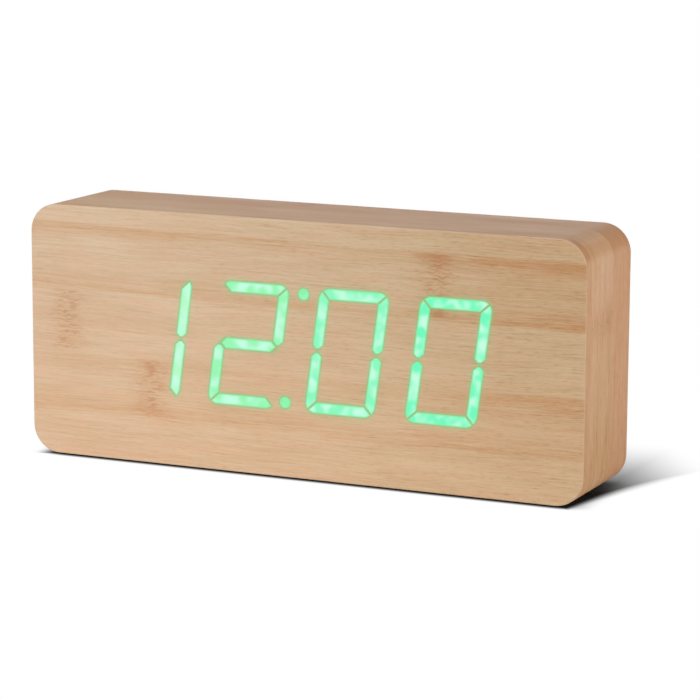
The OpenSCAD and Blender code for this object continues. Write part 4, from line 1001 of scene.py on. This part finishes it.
def battery_springs():
    """Tapering wire coils: the radius and the way along X change evenly with the angle turned."""
    share = np.linspace(0, 1, SPRING_STEPS + 1)[:, None]
    radius = SPRING_BASE_R + (SPRING_TIP_R - SPRING_BASE_R) * share
    angle = 2 * np.pi * SPRING_TURNS * share
    low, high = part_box("contact_springs")
    paths = []
    for k in range(4):
        cell_low, cell_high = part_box(f"cell_{k + 1}")
        mid_y, mid_z = (cell_low.y + cell_high.y) / 2, (cell_low.z + cell_high.z) / 2
        base = low.x + SPRING_WIRE_R if k % 2 == 0 else high.x - SPRING_WIRE_R
        tip = cell_low.x - SPRING_WIRE_R if k % 2 == 0 else cell_high.x + SPRING_WIRE_R
        paths.append(np.concatenate([
            base + (tip - base) * share, mid_y + radius * np.cos(angle), mid_z + radius * np.sin(angle),
        ], 1))
    wire = bright_metal("spring_steel", paint(150, 152, 155), paint(200, 202, 204), 0.25, 1.0)
    tubes_piece("battery_springs", paths, SPRING_WIRE_R, SPRING_SIDES, wire, ["contact_springs"])


# Battery leads: radius, straight part at the frame and at the board, and steps of the mesh
LEAD_R = 0.8 * MM
LEAD_STUB = 0.6 * MM
LEAD_LAND = 3 * MM
LEAD_STEPS, LEAD_SIDES = 48, 16


def battery_lead(colour, dark, pale):
    """Insulated lead in a shallow bow: its height drops by the square of a sine from end to end."""
    node = colour + "_lead"
    jacket = colour + "_jacket"
    low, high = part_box(node)
    mid_y = (low.y + high.y) / 2
    top_z = high.z - LEAD_R
    sag = high.z - low.z - 2 * LEAD_R
    share = np.linspace(0, 1, LEAD_STEPS + 1)
    bow_start, bow_end = high.x - LEAD_STUB, low.x + LEAD_LAND
    run = bow_start + (bow_end - bow_start) * share
    bow = np.stack([run, np.full(len(run), mid_y), top_z - sag * np.sin(np.pi * share) ** 2], 1)
    path = np.concatenate([[[high.x, mid_y, top_z]], bow, [[low.x, mid_y, top_z]]])
    cover = polish(jacket, dark, pale, 0.35)
    tubes_piece("battery_lead_" + colour, [path], LEAD_R, LEAD_SIDES, cover, [node])


# Painted shadow on the floor: it leaves the slab's front right corner at SHADOW_TURN from the way back, is
# soft at its edge, and fades between the depths SHADOW_DARK and SHADOW_END, in millimetres
SHADOW_TURN = math.radians(12.5)
SHADOW_DARK, SHADOW_END = 3.0, 92.0
# Painted contact shade: way in which the floor looks for the slab close to it, how far, and with how many
# samples
CONTACT_WAY = (0.1, -0.9, 0.4)
CONTACT_REACH = 8 * MM
CONTACT_SAMPLES = 32
# Floor: half its width, how far it lies under the pads, its grey for the light, and the near-black it shows
# the camera in its painted shadow
FLOOR_HALF = 6.0
FLOOR_DROP = 0.2 * MM
FLOOR_GREY = (0.82, 0.82, 0.82, 1)
FLOOR_PAINTED_SHADE = (0.03, 0.03, 0.03, 1)
WHITE = (1, 1, 1, 1)


def painted_shadow(finish, x, y):
    """Painted shadow: share of white that the slab's shadow, drawn on the floor as a wedge, leaves: 1 in the
    open, near 0 behind the slab's foot.

    One edge runs back from the front right corner and the other from the back left one. A point's way past
    an edge is its offset from the corner, turned by SHADOW_TURN; the edge softens with the way back.
    """
    foot = (band_high.x - CORNER_R) / MM
    sides = []
    for way, corner_x, corner_y, blur in (
        (1, foot + 3.4, band_low.y / MM, 1.4), (-1, 1.5 - foot, band_high.y / MM, 4.0),
    ):
        off_x, off_y = x - corner_x, y - corner_y
        past = (off_x * math.cos(SHADOW_TURN) - off_y * math.sin(SHADOW_TURN)) * way
        behind = finish.most(off_x * math.sin(SHADOW_TURN) + off_y * math.cos(SHADOW_TURN), 0.0)
        sides.append(finish.rise(past / (blur + behind * 0.075), -1.0, 1.0))
    sides.append(1 - finish.rise(y, band_low.y / MM + 0.4, band_low.y / MM + 3.6))
    sides.append(finish.rise(y + finish.most(x - foot - 5.0, 0.0) * 1.3, SHADOW_DARK, SHADOW_END))
    return reduce(finish.most, sides)


def studio_floor():
    """Plain pale floor, white for the camera where nothing is near, and near black for it in a painted
    shadow by the slab.
    """
    mesh = bpy.data.meshes.new("floor")
    corners = [(x * FLOOR_HALF, y * FLOOR_HALF, 0) for x, y in ((-1, -1), (1, -1), (1, 1), (-1, 1))]
    mesh.from_pydata(corners, [], [(0, 1, 2, 3)])
    floor = add_object("floor", mesh)
    floor.location.z = -FLOOR_DROP
    finish = Finish("floor_paper")
    ray = finish.straight_ray()
    tone = finish.mix(FLOOR_GREY, FLOOR_PAINTED_SHADE, ray)
    finish.surface(base_color=tone, roughness=0.95, specular_ior_level=0.0)
    way = finish.node("ShaderNodeCombineXYZ", None, dict(enumerate(CONTACT_WAY)))
    looking = {"Distance": CONTACT_REACH, "Normal": way}
    open_sky = finish.node("ShaderNodeAmbientOcclusion", {"samples": CONTACT_SAMPLES}, looking, "AO")
    x, y, _ = finish.place
    # Painted shadow: white gives way to the floor's near-black where the floor is occluded close by and
    # inside the drawn shadow
    lit = finish.rise(open_sky, 0.3, 0.96) * painted_shadow(finish, x, y)
    white = finish.node("ShaderNodeEmission", None, {"Color": WHITE, "Strength": 1.0})
    plain = Value(finish, finish.shader.outputs[0])
    blend = finish.node("ShaderNodeMixShader", None, {0: ray * lit, 1: plain, 2: white})
    finish.feed(finish.tree.nodes["Material Output"].inputs["Surface"], blend)
    mesh.materials.append(finish.material)


WORLD_STRENGTH = 0.36


def studio_world():
    """Soft grey light from all round, white where the camera or a gloss looks past the object."""
    world = bpy.data.worlds.new("studio")
    world.use_nodes = True
    bpy.context.scene.world = world
    sky = Recipe(world.node_tree)
    back = sky.tree.nodes["Background"]
    sky.feed(back.inputs["Color"], WHITE)
    sky.feed(back.inputs["Strength"], sky.straight_ray() * (1 - WORLD_STRENGTH) + WORLD_STRENGTH)


# Lamps: place and width in metres, and power in watts; all face the middle of the slab
LAMPS = {
    "key_light": ((-0.42, -1.6, 0.95), 0.4, 18),
    "side_light": ((1.5, -0.3, 0.5), 0.9, 9),
    "back_light": ((-0.5, 1.6, 0.5), 0.9, 8),
}
LAMP_AIM = Vector((0, 0, 0.04))


def studio_lamps():
    """Square soft lamps that face the slab."""
    for name, (place, width, power) in LAMPS.items():
        light = bpy.data.lights.new(name, "AREA")
        light.shape = "SQUARE"
        light.size = width
        light.energy = power
        lamp = add_object(name, light)
        lamp.location = place
        lamp.rotation_euler = (LAMP_AIM - Vector(place)).to_track_quat("-Z", "Y").to_euler()


studio_camera()

dress(front_bamboo(), "front_veneer")
dress(back_bamboo(), "back_veneer")
dress(fibreboard(), "case_core", "back_board")
edge_band()
lit_digits()
battery_springs()
battery_lead("red", paint(150, 22, 18), paint(186, 34, 26))
battery_lead("black", paint(18, 18, 18), paint(34, 34, 35))

steel = bright_metal("plated_steel", paint(170, 172, 176), paint(206, 207, 210), 0.24, 6.0)
dress(steel, "back_screws", "display_screws", "control_board_screws", "frame_screws")
dress(
    bright_metal("tinned_metal", paint(188, 189, 190), paint(220, 221, 222), 0.2, 4.0),
    "crystal", "backup_cell", "inlet_pin", "microphone", "contact_plates",
)
dress(pad_rubber(), "pad_front_left", "pad_front_right", "pad_back_left", "pad_back_right")
dress(
    moulded_plastic("spark_textured_black", paint(24, 24, 25), paint(44, 44, 46), 0.05 * MM, 0.5),
    "control_plate", "battery_frame", "battery_door", "door_latch",
)
dress(polish("inlet_black", paint(16, 16, 17), paint(30, 30, 32), 0.3), "power_inlet")
dress(
    polish("key_black", paint(32, 32, 34), paint(52, 52, 54), 0.3),
    "set_button", "up_button", "down_button",
)
dress(
    polish("plunger_red", paint(176, 40, 30), paint(204, 58, 44), 0.4),
    "set_plunger", "up_plunger", "down_plunger",
)
dress(
    moulded_plastic("white_moulding", paint(226, 227, 226), paint(242, 242, 240), 0.02 * MM, 0.4),
    "reflector", "diffuser_sheet",
)
dress(
    moulded_plastic("header_nylon", paint(222, 216, 200), paint(238, 232, 216), 0.03 * MM, 0.45),
    "ribbon_headers",
)
dress(circuit_board("display_board_lacquer", 0.0), "display_board")
dress(circuit_board("control_board_lacquer", -50.0), "control_board")
dress(
    chip_plastic("chip_epoxy", paint(26, 26, 28), paint(46, 46, 48)),
    "clock_chip", "driver_chips", "buzzer",
)
dress(
    chip_plastic("holder_nylon", paint(34, 34, 36), paint(52, 52, 54)),
    "backup_cell_holder", "switch_bodies",
)
dress(capacitor_sleeve(), "capacitors")
dress(ribbon_jacket(), "ribbon_cable")
dress(led_phosphor(), "led_chips")
for k in range(4):
    dress(cell_sleeve(f"cell_{k + 1}", 1 if k % 2 == 0 else -1), f"cell_{k + 1}")

studio_floor()
studio_world()
studio_lamps()
bpy.context.scene.view_settings.view_transform = "Standard"
